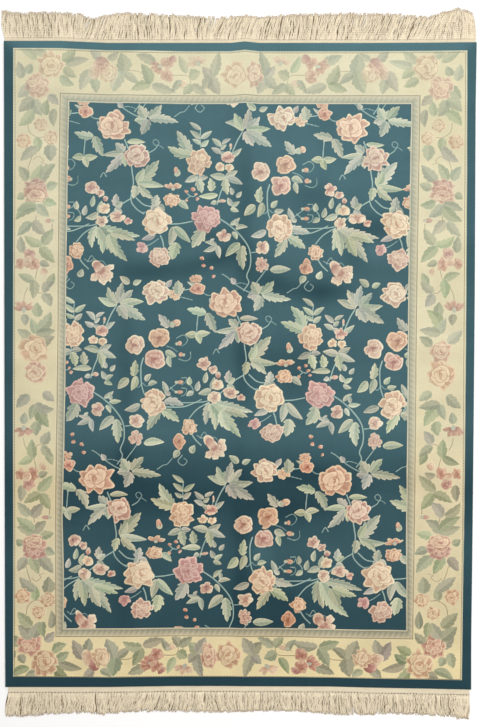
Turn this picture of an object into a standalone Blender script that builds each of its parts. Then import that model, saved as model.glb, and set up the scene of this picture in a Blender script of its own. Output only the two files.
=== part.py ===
"""A kashan rug lying flat on a floor: one pile body and, at each end, a woven web with its fringe.

The rug lies in the XY plane with its length along Y and its underside on z = 0. The body is one
sheet with a rounded rim, whose underside lifts a little along the creases left by folding. Each
fringe is a narrow web strip, parted from the body's end, with the warp locks fused to it.
"""

import math
from collections import namedtuple

import bmesh
import bpy

# Driving dimensions, in metres
LENGTH = 2.498  # of the pile, between its two nominal end lines
THICKNESS = 0.010  # of the pile body
RIM_HEIGHT = 0.006  # height at which the rim is widest
RIM_INSET = 0.004  # how far the top of the rim is drawn in
WEB_DEPTH = 0.0175  # of the flat-woven strip between pile and fringe
WEB_THICKNESS = 0.003
GAP = 0.0003  # between the body and each web
LOCKS = 148  # in each fringe
LOCK_MARGIN = 0.006  # from a side edge to the outermost lock's centre
LOCKS_PER_PANEL = 8  # locks along each face of the web

# Bands of the design, each measured inwards from the rug's edge
OUTER_BAND = 0.042
MAIN_BORDER = 0.208
INNER_GUARD = 0.246

# Half widths of the body, from its centre line, where along is 0 at the near end and 1 at the far one
Side = namedtuple("Side", "along left right")
SIDES = (
    Side(0.00, 0.913, 0.8995),
    Side(0.07, 0.914, 0.8995),
    Side(0.22, 0.915, 0.9045),
    Side(0.40, 0.916, 0.9090),
    Side(0.60, 0.917, 0.9135),
    Side(0.90, 0.918, 0.9170),
    Side(1.00, 0.919, 0.9210),
)

# How far each end of the body stands past its nominal line, where across is 0 at the left, 1 at the right
End = namedtuple("End", "across near far")
ENDS = (
    End(0.00, 0.000, 0.008),
    End(0.12, 0.000, 0.008),
    End(0.17, 0.000, 0.004),
    End(0.22, 0.000, 0.000),
    End(0.36, -0.004, 0.000),
    End(0.48, -0.004, 0.000),
    End(0.51, -0.003, 0.006),
    End(0.54, -0.003, 0.000),
    End(0.70, -0.002, 0.000),
    End(0.78, 0.002, 0.000),
    End(0.90, 0.006, 0.001),
    End(1.00, 0.010, 0.003),
)

# Reach of the fringe past the body, and the sideways lean of its tips
Fringe = namedtuple("Fringe", "across near_reach far_reach near_lean far_lean")
FRINGES = (
    Fringe(0.000, 0.119, 0.121, -0.006, -0.012),
    Fringe(0.040, 0.121, 0.113, 0.000, -0.004),
    Fringe(0.100, 0.111, 0.115, 0.003, 0.000),
    Fringe(0.170, 0.107, 0.113, 0.000, 0.003),
    Fringe(0.180, 0.107, 0.094, 0.000, 0.003),
    Fringe(0.200, 0.115, 0.105, -0.002, 0.000),
    Fringe(0.250, 0.105, 0.121, 0.000, -0.002),
    Fringe(0.300, 0.103, 0.117, 0.003, 0.000),
    Fringe(0.450, 0.109, 0.104, 0.000, 0.003),
    Fringe(0.550, 0.103, 0.105, -0.003, 0.000),
    Fringe(0.620, 0.103, 0.115, 0.000, -0.003),
    Fringe(0.720, 0.117, 0.120, 0.000, 0.000),
    Fringe(0.830, 0.107, 0.115, 0.003, -0.003),
    Fringe(0.900, 0.109, 0.105, 0.003, -0.006),
    Fringe(0.950, 0.113, 0.125, 0.004, -0.012),
    Fringe(0.965, 0.121, 0.136, 0.005, -0.014),
    Fringe(1.000, 0.117, 0.120, 0.008, -0.020),
)

# Sections of one lock, where share is the way from its root to its tip
Section = namedtuple("Section", "share width height")
ROOT = Section(0.0, 0.0062, WEB_THICKNESS)
LOCK_SECTIONS = (
    Section(0.45, 0.0050, 0.0028),
    Section(1.00, 0.0026, 0.0016),
)

# Clumping of the locks: waves of lean along the fringe
Wave = namedtuple("Wave", "length lean turn")
CLUMPS = (
    Wave(0.117, 0.0048, 0.6),
    Wave(0.049, 0.0022, 2.1),
)
REACH_SPREAD = 0.005  # how much one lock's reach differs from the next
REACH_TURNS = (2.40, 0.71)  # turns in radians from lock to lock, which make the reach uneven
LEAN_BEND = 1.3  # above 1, a lock leans more towards its tip

# Creases: low rounded ridges from (x0, y0) to (x1, y1), fading over their last stretch
Crease = namedtuple("Crease", "x0 y0 x1 y1 height half_width")
CREASES = (
    Crease(0.02, -1.16, 0.02, 1.16, 0.0050, 0.070),
    Crease(-0.43, -1.10, -0.43, 1.10, 0.0030, 0.060),
    Crease(0.475, -1.10, 0.475, 1.10, 0.0030, 0.060),
    Crease(-0.74, 0.29, -0.06, 0.43, 0.0035, 0.080),
    Crease(-0.06, 0.43, 0.66, 0.24, 0.0035, 0.080),
    Crease(-0.80, -0.47, 0.78, -0.50, 0.0040, 0.110),
)
CREASE_FADE = 0.16  # the stretch over which a crease fades, centred on its end

# Grid lines of the body
MOST_SPACING = 0.16
LEAST_SPACING = 0.012
CREASE_STEPS = (-1.0, -0.5, 0.0, 0.5, 1.0)  # across a lengthwise crease, in its half widths
ROW_SPACING = 0.055  # between rows where creases cross the rug


def interpolate(table, at, column):
    """The value of one column of a table at a place along its first column."""
    for low, high in zip(table, table[1:]):
        if at <= high[0]:
            share = max(0.0, (at - low[0]) / (high[0] - low[0]))
            start = getattr(low, column)
            return start + share * (getattr(high, column) - start)
    return getattr(table[-1], column)


def plan_point(across, along):
    """A point of the body's uneven plan, from its shares across and along the rug."""
    left = -interpolate(SIDES, along, "left")
    right = interpolate(SIDES, along, "right")
    near = -LENGTH / 2 - interpolate(ENDS, across, "near")
    far = LENGTH / 2 + interpolate(ENDS, across, "far")
    return left + across * (right - left), near + along * (far - near)


def ridge(crease, x, y):
    """The height of one crease at a point: a raised cosine across it, faded at its two ends."""
    run_x = crease.x1 - crease.x0
    run_y = crease.y1 - crease.y0
    length = math.hypot(run_x, run_y)
    along = ((x - crease.x0) * run_x + (y - crease.y0) * run_y) / length
    aside = abs((x - crease.x0) * run_y - (y - crease.y0) * run_x) / length
    to_end = min(along, length - along)
    if aside >= crease.half_width or to_end <= -CREASE_FADE / 2:
        return 0.0
    fade = min(1.0, to_end / CREASE_FADE + 0.5)
    return crease.height * fade * (0.5 + 0.5 * math.cos(math.pi * aside / crease.half_width))


def lift(x, y):
    """How far the underside stands off the floor; where creases cross, the larger one leads."""
    return math.sqrt(sum(ridge(crease, x, y) ** 2 for crease in CREASES))


def grid_lines(first, others, half):
    """Grid lines from -half to half: the first ones, others that aren't too near, and more to fill gaps."""
    lines = [-half, half, *first]
    for line in others:
        if abs(line) < half and min(abs(line - kept) for kept in lines) > LEAST_SPACING:
            lines.append(line)
    result = []
    for low, high in zip(sorted(lines), sorted(lines)[1:]):
        pieces = max(1, math.ceil((high - low) / MOST_SPACING))
        result.extend(low + (high - low) * step / pieces for step in range(pieces))
    return [*result, half]


def band_lines(half):
    """The lines where the bands of the design change, on both sides of the middle."""
    return [side * (half - band) for side in (-1, 1) for band in (OUTER_BAND, MAIN_BORDER, INNER_GUARD)]


def column_shares():
    """Grid columns as shares of the rug's width: at every row of ENDS, the bands and the long creases."""
    half = SIDES[-1].left
    ends = [(2 * row.across - 1) * half for row in ENDS[1:-1]]
    lines = band_lines(half)
    for crease in CREASES:
        if crease.x0 == crease.x1:
            lines.extend(crease.x0 + step * crease.half_width for step in CREASE_STEPS)
    return [(line + half) / (2 * half) for line in grid_lines(ends, lines, half)]


def row_shares():
    """Grid rows as shares of the rug's length: at the bands, and closer over the crosswise creases."""
    half = LENGTH / 2
    lines = []
    for crease in CREASES:
        if crease.x0 != crease.x1:
            low = min(crease.y0, crease.y1) - crease.half_width
            high = max(crease.y0, crease.y1) + crease.half_width
            steps = math.ceil((high - low) / ROW_SPACING)
            lines.extend(low + (high - low) * step / steps for step in range(steps + 1))
    return [(line + half) / (2 * half) for line in grid_lines(band_lines(half), lines, half)]


def band_of(x, y, half_width, half_length):
    """The material index of the band that a point of the top lies in."""
    inwards = min(half_width - abs(x), half_length - abs(y))
    return sum(inwards > edge for edge in (OUTER_BAND, MAIN_BORDER, INNER_GUARD))


def material(name, colour, roughness):
    """A plain cloth material."""
    made = bpy.data.materials.new(name)
    made.use_nodes = True
    shader = made.node_tree.nodes["Principled BSDF"]
    shader.inputs["Base Color"].default_value = (*colour, 1.0)
    shader.inputs["Roughness"].default_value = roughness
    shader.inputs["Metallic"].default_value = 0.0
    return made


def add_object(name, bm, materials, parent):
    """An object made from a finished bmesh."""
    bmesh.ops.recalc_face_normals(bm, faces=bm.faces[:])
    mesh = bpy.data.meshes.new(name)
    bm.to_mesh(mesh)
    bm.free()
    for item in materials:
        mesh.materials.append(item)
    made = bpy.data.objects.new(name, mesh)
    made.parent = parent
    bpy.context.scene.collection.objects.link(made)
    return made


def extruded_up(bm, faces, height):
    """Extrudes a region straight up and gives its new points and its top faces."""
    made = bmesh.ops.extrude_face_region(bm, geom=faces)["geom"]
    points = [item for item in made if isinstance(item, bmesh.types.BMVert)]
    bmesh.ops.translate(bm, verts=points, vec=(0.0, 0.0, height))
    return points, [item for item in made if isinstance(item, bmesh.types.BMFace)]


def build_body(parent):
    """The pile body: a sheet laid over its creases and thickened, with a rounded rim."""
    bm = bmesh.new()
    columns = column_shares()
    rows = row_shares()
    grid = []
    for along in rows:
        line = []
        for across in columns:
            x, y = plan_point(across, along)
            line.append(bm.verts.new((x, y, lift(x, y))))
        grid.append(line)
    for low, high in zip(grid, grid[1:]):
        for index in range(len(columns) - 1):
            bm.faces.new((low[index], low[index + 1], high[index + 1], high[index]))
    _, middle_faces = extruded_up(bm, bm.faces[:], RIM_HEIGHT)
    points, upper = extruded_up(bm, middle_faces, THICKNESS - RIM_HEIGHT)
    bmesh.ops.delete(bm, geom=middle_faces, context="FACES")
    half_width = SIDES[-1].left
    half_length = LENGTH / 2
    top = set(upper)
    for face in upper:
        middle = face.calc_center_median()
        face.material_index = band_of(middle.x, middle.y, half_width, half_length)
    for point in points:
        if not top.issuperset(point.link_faces):
            point.co.x *= 1.0 - RIM_INSET / half_width
            point.co.y *= 1.0 - RIM_INSET / half_length
    materials = (
        material("teal_edge_pile", (0.045, 0.085, 0.105), 0.9),
        material("cream_border_pile", (0.70, 0.58, 0.38), 0.9),
        material("grey_guard_pile", (0.40, 0.37, 0.28), 0.9),
        material("teal_field_pile", (0.03, 0.06, 0.075), 0.9),
    )
    return add_object("rug_body", bm, materials, parent)


def clump_lean(x):
    """The sideways lean that gathers neighbouring locks into clumps."""
    return sum(wave.lean * math.sin(2 * math.pi * x / wave.length + wave.turn) for wave in CLUMPS)


def end_point(across, end):
    """A point of the body's end line: end is -1 at the near end and 1 at the far one."""
    return plan_point(across, 0.0 if end < 0 else 1.0)


def build_fringe(name, end, parent, cloth):
    """One web strip with its locks: the web's plan is raised, then each lock grows from its wall."""
    side = "near" if end < 0 else "far"
    left, _ = end_point(0.0, end)
    right, _ = end_point(1.0, end)
    margin = LOCK_MARGIN / (right - left)
    bm = bmesh.new()
    shares = [margin + (1.0 - 2 * margin) * index / (LOCKS - 1) for index in range(LOCKS)]
    half_root = ROOT.width / 2 / (right - left)

    def web_vert(across, depth):
        x, y = end_point(across, end)
        return bm.verts.new((x, y + end * depth, 0.0))

    roots = []
    edge = 0.0
    back = web_vert(0.0, GAP)
    front = web_vert(0.0, WEB_DEPTH)
    for start in range(0, LOCKS, LOCKS_PER_PANEL):
        panel = shares[start:start + LOCKS_PER_PANEL]
        wall = [front]
        for across in panel:
            pair = (web_vert(across - half_root, WEB_DEPTH), web_vert(across + half_root, WEB_DEPTH))
            wall.extend(pair)
            roots.append((across, pair))
        after = start + LOCKS_PER_PANEL
        next_edge = 1.0 if after >= LOCKS else (panel[-1] + shares[after]) / 2
        bends = [web_vert(row.across, GAP) for row in ENDS[::-1] if edge < row.across < next_edge]
        next_back = web_vert(next_edge, GAP)
        next_front = web_vert(next_edge, WEB_DEPTH)
        bm.faces.new([back, *wall, next_front, next_back, *bends])
        edge = next_edge
        back = next_back
        front = next_front
    extruded_up(bm, bm.faces[:], WEB_THICKNESS)
    bm.normal_update()

    for index, (across, pair) in enumerate(roots):
        edge = bm.edges.get(pair)
        wall = next(face for face in edge.link_faces if abs(face.normal.z) < 0.5 and len(face.verts) == 4)
        root_x, end_y = end_point(across, end)
        uneven = REACH_SPREAD * math.sin(index * REACH_TURNS[0]) * math.cos(index * REACH_TURNS[1])
        reach = interpolate(FRINGES, across, side + "_reach") + uneven - WEB_DEPTH
        lean = interpolate(FRINGES, across, side + "_lean") + clump_lean(root_x)
        for section in LOCK_SECTIONS:
            wall = bmesh.ops.extrude_discrete_faces(bm, faces=[wall])["faces"][0]
            middle_x = wall.calc_center_median().x
            middle_z = wall.calc_center_median().z
            for point in wall.verts:
                aside = section.width / 2 if point.co.x > middle_x else -section.width / 2
                point.co.z = section.height if point.co.z > middle_z else 0.0
                point.co.x = root_x + lean * section.share ** LEAN_BEND + aside
                point.co.y = end_y + end * (WEB_DEPTH + reach * section.share)
    return add_object(name, bm, (cloth,), parent)


def centre(rug, pieces):
    """Moves the whole rug so that the middle of its plan is at the origin."""
    points = [point.co for piece in pieces for point in piece.data.vertices]
    for axis in (0, 1):
        values = [point[axis] for point in points]
        rug.location[axis] = -(min(values) + max(values)) / 2


def main():
    for item in list(bpy.data.objects):
        bpy.data.objects.remove(item, do_unlink=True)
    rug = bpy.data.objects.new("kashan_rug", None)
    bpy.context.scene.collection.objects.link(rug)
    warp = material("cream_warp", (0.72, 0.62, 0.45), 0.95)
    body = build_body(rug)
    near = build_fringe("fringe_near", -1, rug, warp)
    far = build_fringe("fringe_far", 1, rug, warp)
    centre(rug, (body, near, far))


main()
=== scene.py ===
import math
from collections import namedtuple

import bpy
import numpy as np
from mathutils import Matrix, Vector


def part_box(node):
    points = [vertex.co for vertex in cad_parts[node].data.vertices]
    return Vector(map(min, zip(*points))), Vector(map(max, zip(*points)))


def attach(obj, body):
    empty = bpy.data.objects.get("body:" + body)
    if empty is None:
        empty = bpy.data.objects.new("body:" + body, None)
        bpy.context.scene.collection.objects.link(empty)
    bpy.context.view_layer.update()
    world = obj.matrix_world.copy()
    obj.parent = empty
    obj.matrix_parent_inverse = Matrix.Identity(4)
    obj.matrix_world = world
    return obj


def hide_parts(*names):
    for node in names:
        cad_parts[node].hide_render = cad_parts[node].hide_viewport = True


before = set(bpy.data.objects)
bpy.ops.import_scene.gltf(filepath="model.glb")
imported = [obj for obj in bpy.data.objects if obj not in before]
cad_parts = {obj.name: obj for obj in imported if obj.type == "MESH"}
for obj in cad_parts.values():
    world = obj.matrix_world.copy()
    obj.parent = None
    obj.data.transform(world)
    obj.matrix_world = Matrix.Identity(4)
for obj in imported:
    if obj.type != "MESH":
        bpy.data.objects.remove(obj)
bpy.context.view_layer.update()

# A kashan rug: a knotted wool pile with roses and leaves on a teal field, inside a cream border of
# flowers, and a woven cotton web with a knotted fringe at each end.
#
# The design is charted in centimetres from the middle of the rug, x across it and y along it, with
# +y towards the far end. It is painted on a fine sheet of cells, painted sheen and painted shade of the
# folds included, and each face of the pile's mesh takes its corners' colours from there.

# ---------------------------------------------------------------- sizes, in metres

HALF_WIDTH = 0.919  # from the middle of the design to the left edge at the far end
HALF_LENGTH = 1.249  # from the middle of the design to a nominal end line
NEAR_OVERRUN = 0.010  # how far the near end stands past its nominal line, at most
PILE_TOP = 0.010
KNOT_GROUP = 0.0038  # one face of the pile's mesh; single knots are too fine for the photo to show
STRIPS = 4  # the pile's mesh is cut into strips, so that none is too heavy
BACKING_GROUP = 0.022  # one face of the backing's mesh
BACKING_THICKNESS = 0.0022
BACKING_INSET = 0.0035
FLOOR_GAP = 0.0004
CM = 0.01

# The rolled rim of the pile: how far a line of the rim stands in from the edge, and its height
Rim = namedtuple("Rim", "inset height")
RIM = (
    Rim(0.0014, 0.0006),
    Rim(0.0002, 0.0028),
    Rim(0.0000, 0.0050),
    Rim(0.0008, 0.0072),
    Rim(0.0026, 0.0090),
    Rim(0.0056, PILE_TOP),
)

# Creases left by folding: low rounded ridges from (x0, y0) to (x1, y1), fading over their last stretch
Crease = namedtuple("Crease", "x0 y0 x1 y1 height half_width")
CREASES = (
    Crease(0.02, -1.16, 0.02, 1.16, 0.0050, 0.070),
    Crease(-0.43, -1.10, -0.43, 1.10, 0.0030, 0.060),
    Crease(0.475, -1.10, 0.475, 1.10, 0.0030, 0.060),
    Crease(-0.74, 0.29, -0.06, 0.43, 0.0035, 0.080),
    Crease(-0.06, 0.43, 0.66, 0.24, 0.0035, 0.080),
    Crease(-0.80, -0.47, 0.78, -0.50, 0.0040, 0.110),
)
CREASE_FADE = 0.16

# Small waves of the pile's surface, as (length across, length along, height, turn)
Wave = namedtuple("Wave", "across along height turn")
WAVES = (
    Wave(0.61, 0.83, 0.0005, 0.4),
    Wave(-0.37, 0.52, 0.0004, 2.2),
    Wave(0.23, -0.31, 0.0002, 4.1),
)

# The fringe. At each end: how far the pile and the web beyond it stand out past the body's end line in the
# frame, how deep the web is, where its yarns start from the web's edge, and whether its knots show
End = namedtuple("End", "lip web start knots")
ENDS = {
    "near": End(0.0060, 0.0205, 0.0030, True),
    "far": End(0.0023, 0.0130, -0.0045, False),
}
LOCKS = 148
TIP_HEIGHT = 0.0016  # of a lock's tip in the frame, which tells its points from the others
LEAN_BEND = 1.3  # above 1, a lock leans more towards its tip
YARNS = 8  # in each lock
YARN_STEPS = 11
YARN_SIDES = 4
YARN_RADIUS = 0.00118
YARN_RAGGED = 0.014
YARN_RISE = 0.0030
YARN_SPREAD_AT = (0.0, 0.1, 0.6, 1.0)
YARN_SPREAD = (0.0112, 0.0122, 0.0126, 0.0118)
STRAY_SHARE = 0.20  # of the yarns lie across their neighbours
STRAY_REACH = 0.012
# Yarns sway together with their neighbours and part here and there: how many yarns share a sway, how many
# bends it has from root to tip, and how far it goes
Sway = namedtuple("Sway", "group bends reach")
SWAYS = (
    Sway(2, 7, 0.0016),
    Sway(6, 5, 0.0020),
    Sway(40, 3, 0.0030),
)
# The yarns underneath, a dark layer coloured as painted shade, which shows where the ones above part
DEEP_YARNS = 3
DEEP_STEPS = 6
DEEP_WIDTH = 0.0047
DEEP_HEIGHT = 0.0010
DEEP_REACH = 0.93
DEEP_TUCK = 0.003  # how far they run under the web
KNOT_STEPS = 6
KNOT_SIDES = 8
KNOT_LENGTH = 0.0085
KNOT_WIDTH = 0.0096
KNOT_HEIGHT = 0.0032
KNOT_TUCK = 0.40  # the share of a knot that lies on the web
WEB_STATIONS = 300
WEB_WAVE = 0.0004
# The web's section: how far out each point stands as a share of the web's depth, and its height
Profile = namedtuple("Profile", "out height")
WEB_PROFILE = (
    Profile(0.01, 0.0002),
    Profile(0.01, 0.0022),
    Profile(0.30, 0.0029),
    Profile(0.68, 0.0027),
    Profile(0.96, 0.0024),
    Profile(1.00, 0.0014),
    Profile(0.96, 0.0002),
    Profile(0.55, 0.0000),
)
YARN_TWISTS = 16.0  # turns of the ply along a yarn
# How thick a yarn is and how high it rises, as shares, from its root to its tip
YARN_THICK_AT = (0, 0.1, 0.85, 1)
YARN_THICK = (0.85, 1, 0.95, 0.55)
YARN_RISE_AT = (0, 0.3, 0.8, 1)
YARN_RISES = (0.3, 1, 0.7, 0.2)
YARN_LAYERS = 0.7  # of the full rise, for a yarn that isn't a stray
STRAY_BEND = 0.8  # of a half wave, from a stray's root to its tip
CALM_LOCKS = 4  # at each corner, which have no strays
KNOT_JITTER = 0.0004
# The web's edge waves in a long wave and a short one
WEB_LONG_WAVE = 0.037
WEB_SHORT_WAVE = 0.0113
WEB_CHART = 0.1  # how far round its texture chart the web reaches
WEB_SHARP = 50  # degrees
# The fringe's own ends stand in from the corners of the pile, and its outermost locks bulge sideways
Corner = namedtuple("Corner", "inset bulge")
CORNERS = {
    ("near", "left"): Corner(0.011, 0.006),
    ("near", "right"): Corner(0.006, 0.000),
    ("far", "left"): Corner(0.003, 0.007),
    ("far", "right"): Corner(0.003, 0.004),
}
BULGE_LOCKS = 3.0
# How far the tips lean to the right of their roots along each end, in chart centimetres
Lean = namedtuple("Lean", "x right")
LEANS = {
    "near": (
        Lean(-90, -1.2), Lean(-85, -1.0), Lean(-80, -1.6), Lean(-74, 0.0), Lean(-55, 0.2), Lean(-50, -0.6),
        Lean(-45, -2.4), Lean(-38, -2.8), Lean(-34, -2.8), Lean(-27, -1.6), Lean(-20, -0.4), Lean(-12, 0.8),
        Lean(-4, 1.6), Lean(4, 0.2), Lean(25, 0.3), Lean(40, 0.3), Lean(46, 2.2), Lean(49, 0.2),
        Lean(54.0, -1.0), Lean(55.2, 0.9), Lean(60, 0.8), Lean(70, 0.6), Lean(80, 0.0), Lean(84, 0.8),
        Lean(88, -0.4),
    ),
    "far": (
        Lean(-92, -1.0), Lean(-86, -1.4), Lean(-78, -0.6), Lean(-72, -0.6), Lean(-66, 0.4), Lean(-62, 1.6),
        Lean(-57, 3.2), Lean(-53, 3.4), Lean(-46, 1.6), Lean(-40, -0.6), Lean(-35, -0.2), Lean(-24, 0.0),
        Lean(-18, 1.2), Lean(-11, 3.4), Lean(-5, 3.6), Lean(2, 3.0), Lean(10, 2.4), Lean(20, 1.8),
        Lean(30, 1.8), Lean(36, 3.0), Lean(42, 2.8), Lean(48, 4.2), Lean(58, 3.4), Lean(66, 4.0),
        Lean(72, 5.6), Lean(78, 4.4), Lean(82, 1.4), Lean(86, -0.8), Lean(92, -2.0),
    ),
}
TURN = 2 * math.pi
WAVE_FADE = 0.08  # the small waves die out over this distance from the edge
END_FADE = 0.60  # the design follows an uneven end less and less over this distance

# Floor, camera and lights
FLOOR_REACH = 6.0
CAMERA_SENSOR = 36.0
CAMERA_HEIGHT = 6.0
VIEW_LENGTH = 2.831  # what the long side of the picture takes in, on the floor
VIEW_SHIFT = 0.004  # of the view's middle from the design's, towards the far end
WORLD_COLOUR = (1.0, 1.0, 1.0)
WORLD_STRENGTH = 0.42
Lamp = namedtuple("Lamp", "name wide high watts colour place aim")
LAMPS = (
    Lamp("overhead", 4.0, 4.0, 175.0, (1.0, 0.98, 0.95), (0.9, -0.1, 4.4), (0.1, -0.1, 0.0)),
    Lamp("window", 3.5, 1.6, 32.0, (0.90, 0.96, 1.0), (0.3, 3.6, 1.6), (0.0, 0.2, 0.0)),
)

# Colours: linear for the shaders, display colours from 0 to 255 for the chart
COTTON_BASE = (0.95, 0.84, 0.645)
WEB_BASE = (0.895, 0.785, 0.58)
COTTON_TIP = (0.60, 0.40, 0.25)
# painted shade: the colour of the yarns underneath the fringe
COTTON_PAINTED_SHADE = (0.30, 0.225, 0.14)
FLOOR_BASE = (0.97, 0.97, 0.97)
TEAL = (36, 67, 77)
CREAM = (229, 214, 176)
CREAM_WARM = (227, 210, 167)
CREAM_NEAR = (241, 222, 172)  # along the near end
CREAM_NEAR_FROM = -92.0
CREAM_NEAR_REACH = 24.0
GUARD_OUTER = (200, 186, 154)
GUARD_INNER = (158, 153, 130)

# The sheet the design is painted on, in centimetres
CELL = 0.125
CHART_HALF_X = 94.0
CHART_HALF_Y = 128.0
CORNER_REACH = 0.6  # how far out from a face's middle its corner colours are taken
PAINTED_MARK_REACH = 3.0  # how far the window of a mark of painted light or shade reaches, in its own sizes
DYE_STRENGTH = 0.80  # the wool's own colour against the colour it shows in the studio's light
DESIGN_SEED = 7
EDGE_SOFTNESS = 0.22
LINE_SOFTNESS = 0.15
SEAM_STRENGTH = 0.55
CRISP_REACH = 3  # in cells, of the blur that sharpens the edges between colours
CRISP_STRENGTH = 0.55
STEM_WIDTH = 0.80  # of a stem as woven, against its charted width
STEM_TAPER = 0.25  # of its width, lost towards its end
ROUTE_STEPS = 5  # of a stem's curve between two charted points
BLOOM_WINDOW = 0.62  # how far a bloom's window reaches from its middle, against its size
PETAL_FOLD = 5.0
PETAL_JITTER = 0.16
BLOOM_SHADE = 12.0
LEAF_BEND = 0.06
LEAF_HOOK = 0.35  # of its bend, which a leaf's tip turns further
LEAF_BULGE = 0.72
LEAF_ROUNDNESS = 0.8  # below 1, a leaf is blunter
LEAF_TILT = 0.8  # in centimetres, over which the dark half goes over into the light one
TOOTHED_FROM = 3.0
TOOTH_LENGTH = 2.3
TOOTH_STAGGER = 0.35  # of a tooth, between a leaf's two sides
TOOTH_CURVE = 1.5
VEIN_SPACING = 1.9
VEIN_SLANT = 0.9
VEINED_FROM = 2.2
RIB_WIDTH = 0.14
LEAF_VEINS = 0.22
LEAF_MOTTLE = 7.0
ROPE_PERIOD = 2.1
ROPE_SLANT = 1.6
ROPE_CONTRAST = 9.0
GUARD_FADE = 0.8  # of the rope into the cream where the border fades
DOT_SPACING = 1.1
DOT_CONTRAST = 0.28

# Slow patches of the cream ground: turns across and along, in radians per centimetre
Cloud = namedtuple("Cloud", "across along turn")
CLOUDS = (
    Cloud(0.05, 0.03, 0.3),
    Cloud(-0.08, 0.06, 1.9),
    Cloud(0.02, -0.11, 4.0),
)

# Painted sheen: a pale veil added to the design's colours where the pile lies towards the light, its
# strength along the rug from its near end to its far one; and marks of painted shade and painted
# highlight where the pile was pressed another way
# the colour of the painted sheen, added in linear light
PAINTED_SHEEN_COLOUR = (0.058, 0.111, 0.118)
PaintedSheenStep = namedtuple("PaintedSheenStep", "y share")
PAINTED_SHEEN_ALONG = (
    PaintedSheenStep(-120, 0.10),
    PaintedSheenStep(-96, 0.20),
    PaintedSheenStep(-80, 0.34),
    PaintedSheenStep(-72, 0.40),
    PaintedSheenStep(-64, 0.28),
    PaintedSheenStep(-57, 0.15),
    PaintedSheenStep(-49, 0.08),
    PaintedSheenStep(-41, 0.22),
    PaintedSheenStep(-33, 0.50),
    PaintedSheenStep(-26, 0.77),
    PaintedSheenStep(6, 0.71),
    PaintedSheenStep(21, 0.84),
    PaintedSheenStep(37, 0.74),
    PaintedSheenStep(52, 0.86),
    PaintedSheenStep(84, 0.98),
    PaintedSheenStep(110, 1.08),
)
PaintedLightMark = namedtuple("PaintedLightMark", "x y long wide turn share")
PAINTED_LIGHT_MARKS = (
    # painted shade along the folds down the middle and the left
    PaintedLightMark(2, 60, 2.6, 24, 0, -0.35),
    PaintedLightMark(1, 2, 2.4, 16, 0, -0.35),
    PaintedLightMark(1, -74, 2.8, 24, 0, -0.28),
    PaintedLightMark(-44, -12, 2.4, 26, 0, -0.25),
    PaintedLightMark(-45, -76, 2.6, 20, 0, -0.16),
    PaintedLightMark(33, 70, 2.0, 22, 0, -0.10),
    # dark marks: painted shade
    PaintedLightMark(-7, 42, 9.0, 2.4, 18, -0.45),
    PaintedLightMark(-35, 36, 11.0, 3.2, 0, -0.42),
    PaintedLightMark(13, 31, 6.0, 2.8, -15, -0.38),
    PaintedLightMark(31, 28, 8.5, 3.2, 0, -0.62),
    PaintedLightMark(52, 53, 9.0, 4.0, 0, -0.50),
    PaintedLightMark(45, 45, 3.0, 4.5, 0, -0.40),
    PaintedLightMark(19, -2, 11.0, 8.0, 0, -0.38),
    PaintedLightMark(27, 66, 6.0, 4.0, 0, -0.25),
    PaintedLightMark(-12, 50, 5.0, 2.0, 0, -0.30),
    PaintedLightMark(9, 37, 12.0, 4.0, -20, -0.22),
    PaintedLightMark(23, -42, 9.0, 3.0, 0, -0.25),
    PaintedLightMark(-29, -51, 10.0, 4.0, -15, -0.18),
    PaintedLightMark(17, -57, 7.0, 3.5, 0, -0.25),
    PaintedLightMark(10, -94, 12.0, 8.0, 0, -0.28),
    PaintedLightMark(-45, -40, 4.0, 8.0, 0, -0.22),
    # light marks: painted highlight
    PaintedLightMark(23, 77, 12.0, 6.0, 0, 0.14),
    PaintedLightMark(-35, 46, 7.0, 3.6, 0, 0.30),
    PaintedLightMark(12, 51, 8.0, 4.0, 0, 0.22),
    PaintedLightMark(27, 42, 8.0, 5.0, 30, 0.15),
    PaintedLightMark(50, 44, 6.0, 3.0, 0, 0.30),
    PaintedLightMark(-37, -20, 6.0, 9.0, 0, 0.14),
    PaintedLightMark(53, -20, 10.0, 12.0, 0, 0.12),
    PaintedLightMark(8, -74, 4.0, 5.0, 0, 0.28),
    PaintedLightMark(56, -53, 9.0, 8.0, 0, 0.30),
    PaintedLightMark(30, -74, 12.0, 8.0, 0, 0.12),
    PaintedLightMark(-30, 78, 14.0, 8.0, 0, 0.06),
)

# Thin lines of the design, each measured inwards from a band's outer line
Line = namedtuple("Line", "band inwards wide colour strength dotted")
LINES = (
    Line("edging", 0.10, 0.42, (190, 188, 162), 0.90, False),
    Line("border", -0.22, 0.32, (120, 106, 78), 0.80, True),
    Line("guard", 0.10, 0.30, (142, 124, 92), 0.80, False),
    Line("guard", 0.50, 0.30, (214, 200, 166), 0.60, False),
    Line("field", -0.20, 0.45, (206, 196, 166), 0.85, False),
    Line("field", -0.62, 0.25, (134, 130, 112), 0.60, False),
)


def clamp(value, low=0.0, high=1.0):
    return np.minimum(np.maximum(value, low), high)


def smooth(value):
    """A smooth step from 0 to 1 as the value goes from 0 to 1."""
    value = clamp(value)
    return value * value * (3.0 - 2.0 * value)


# The standard display curve: a straight foot, then a power
DISPLAY_WHITE = 255.0
FOOT_SHOWN = 0.04045
FOOT_LIGHT = 0.0031308
FOOT_SLOPE = 12.92
CURVE_OFFSET = 0.055
CURVE_SCALE = 1.055
CURVE_POWER = 2.4


def linear(colour):
    """Linear light from display colours between 0 and 255."""
    share = np.asarray(colour, dtype=np.float64) / DISPLAY_WHITE
    curve = ((share + CURVE_OFFSET) / CURVE_SCALE) ** CURVE_POWER
    return np.where(share <= FOOT_SHOWN, share / FOOT_SLOPE, curve)


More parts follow.
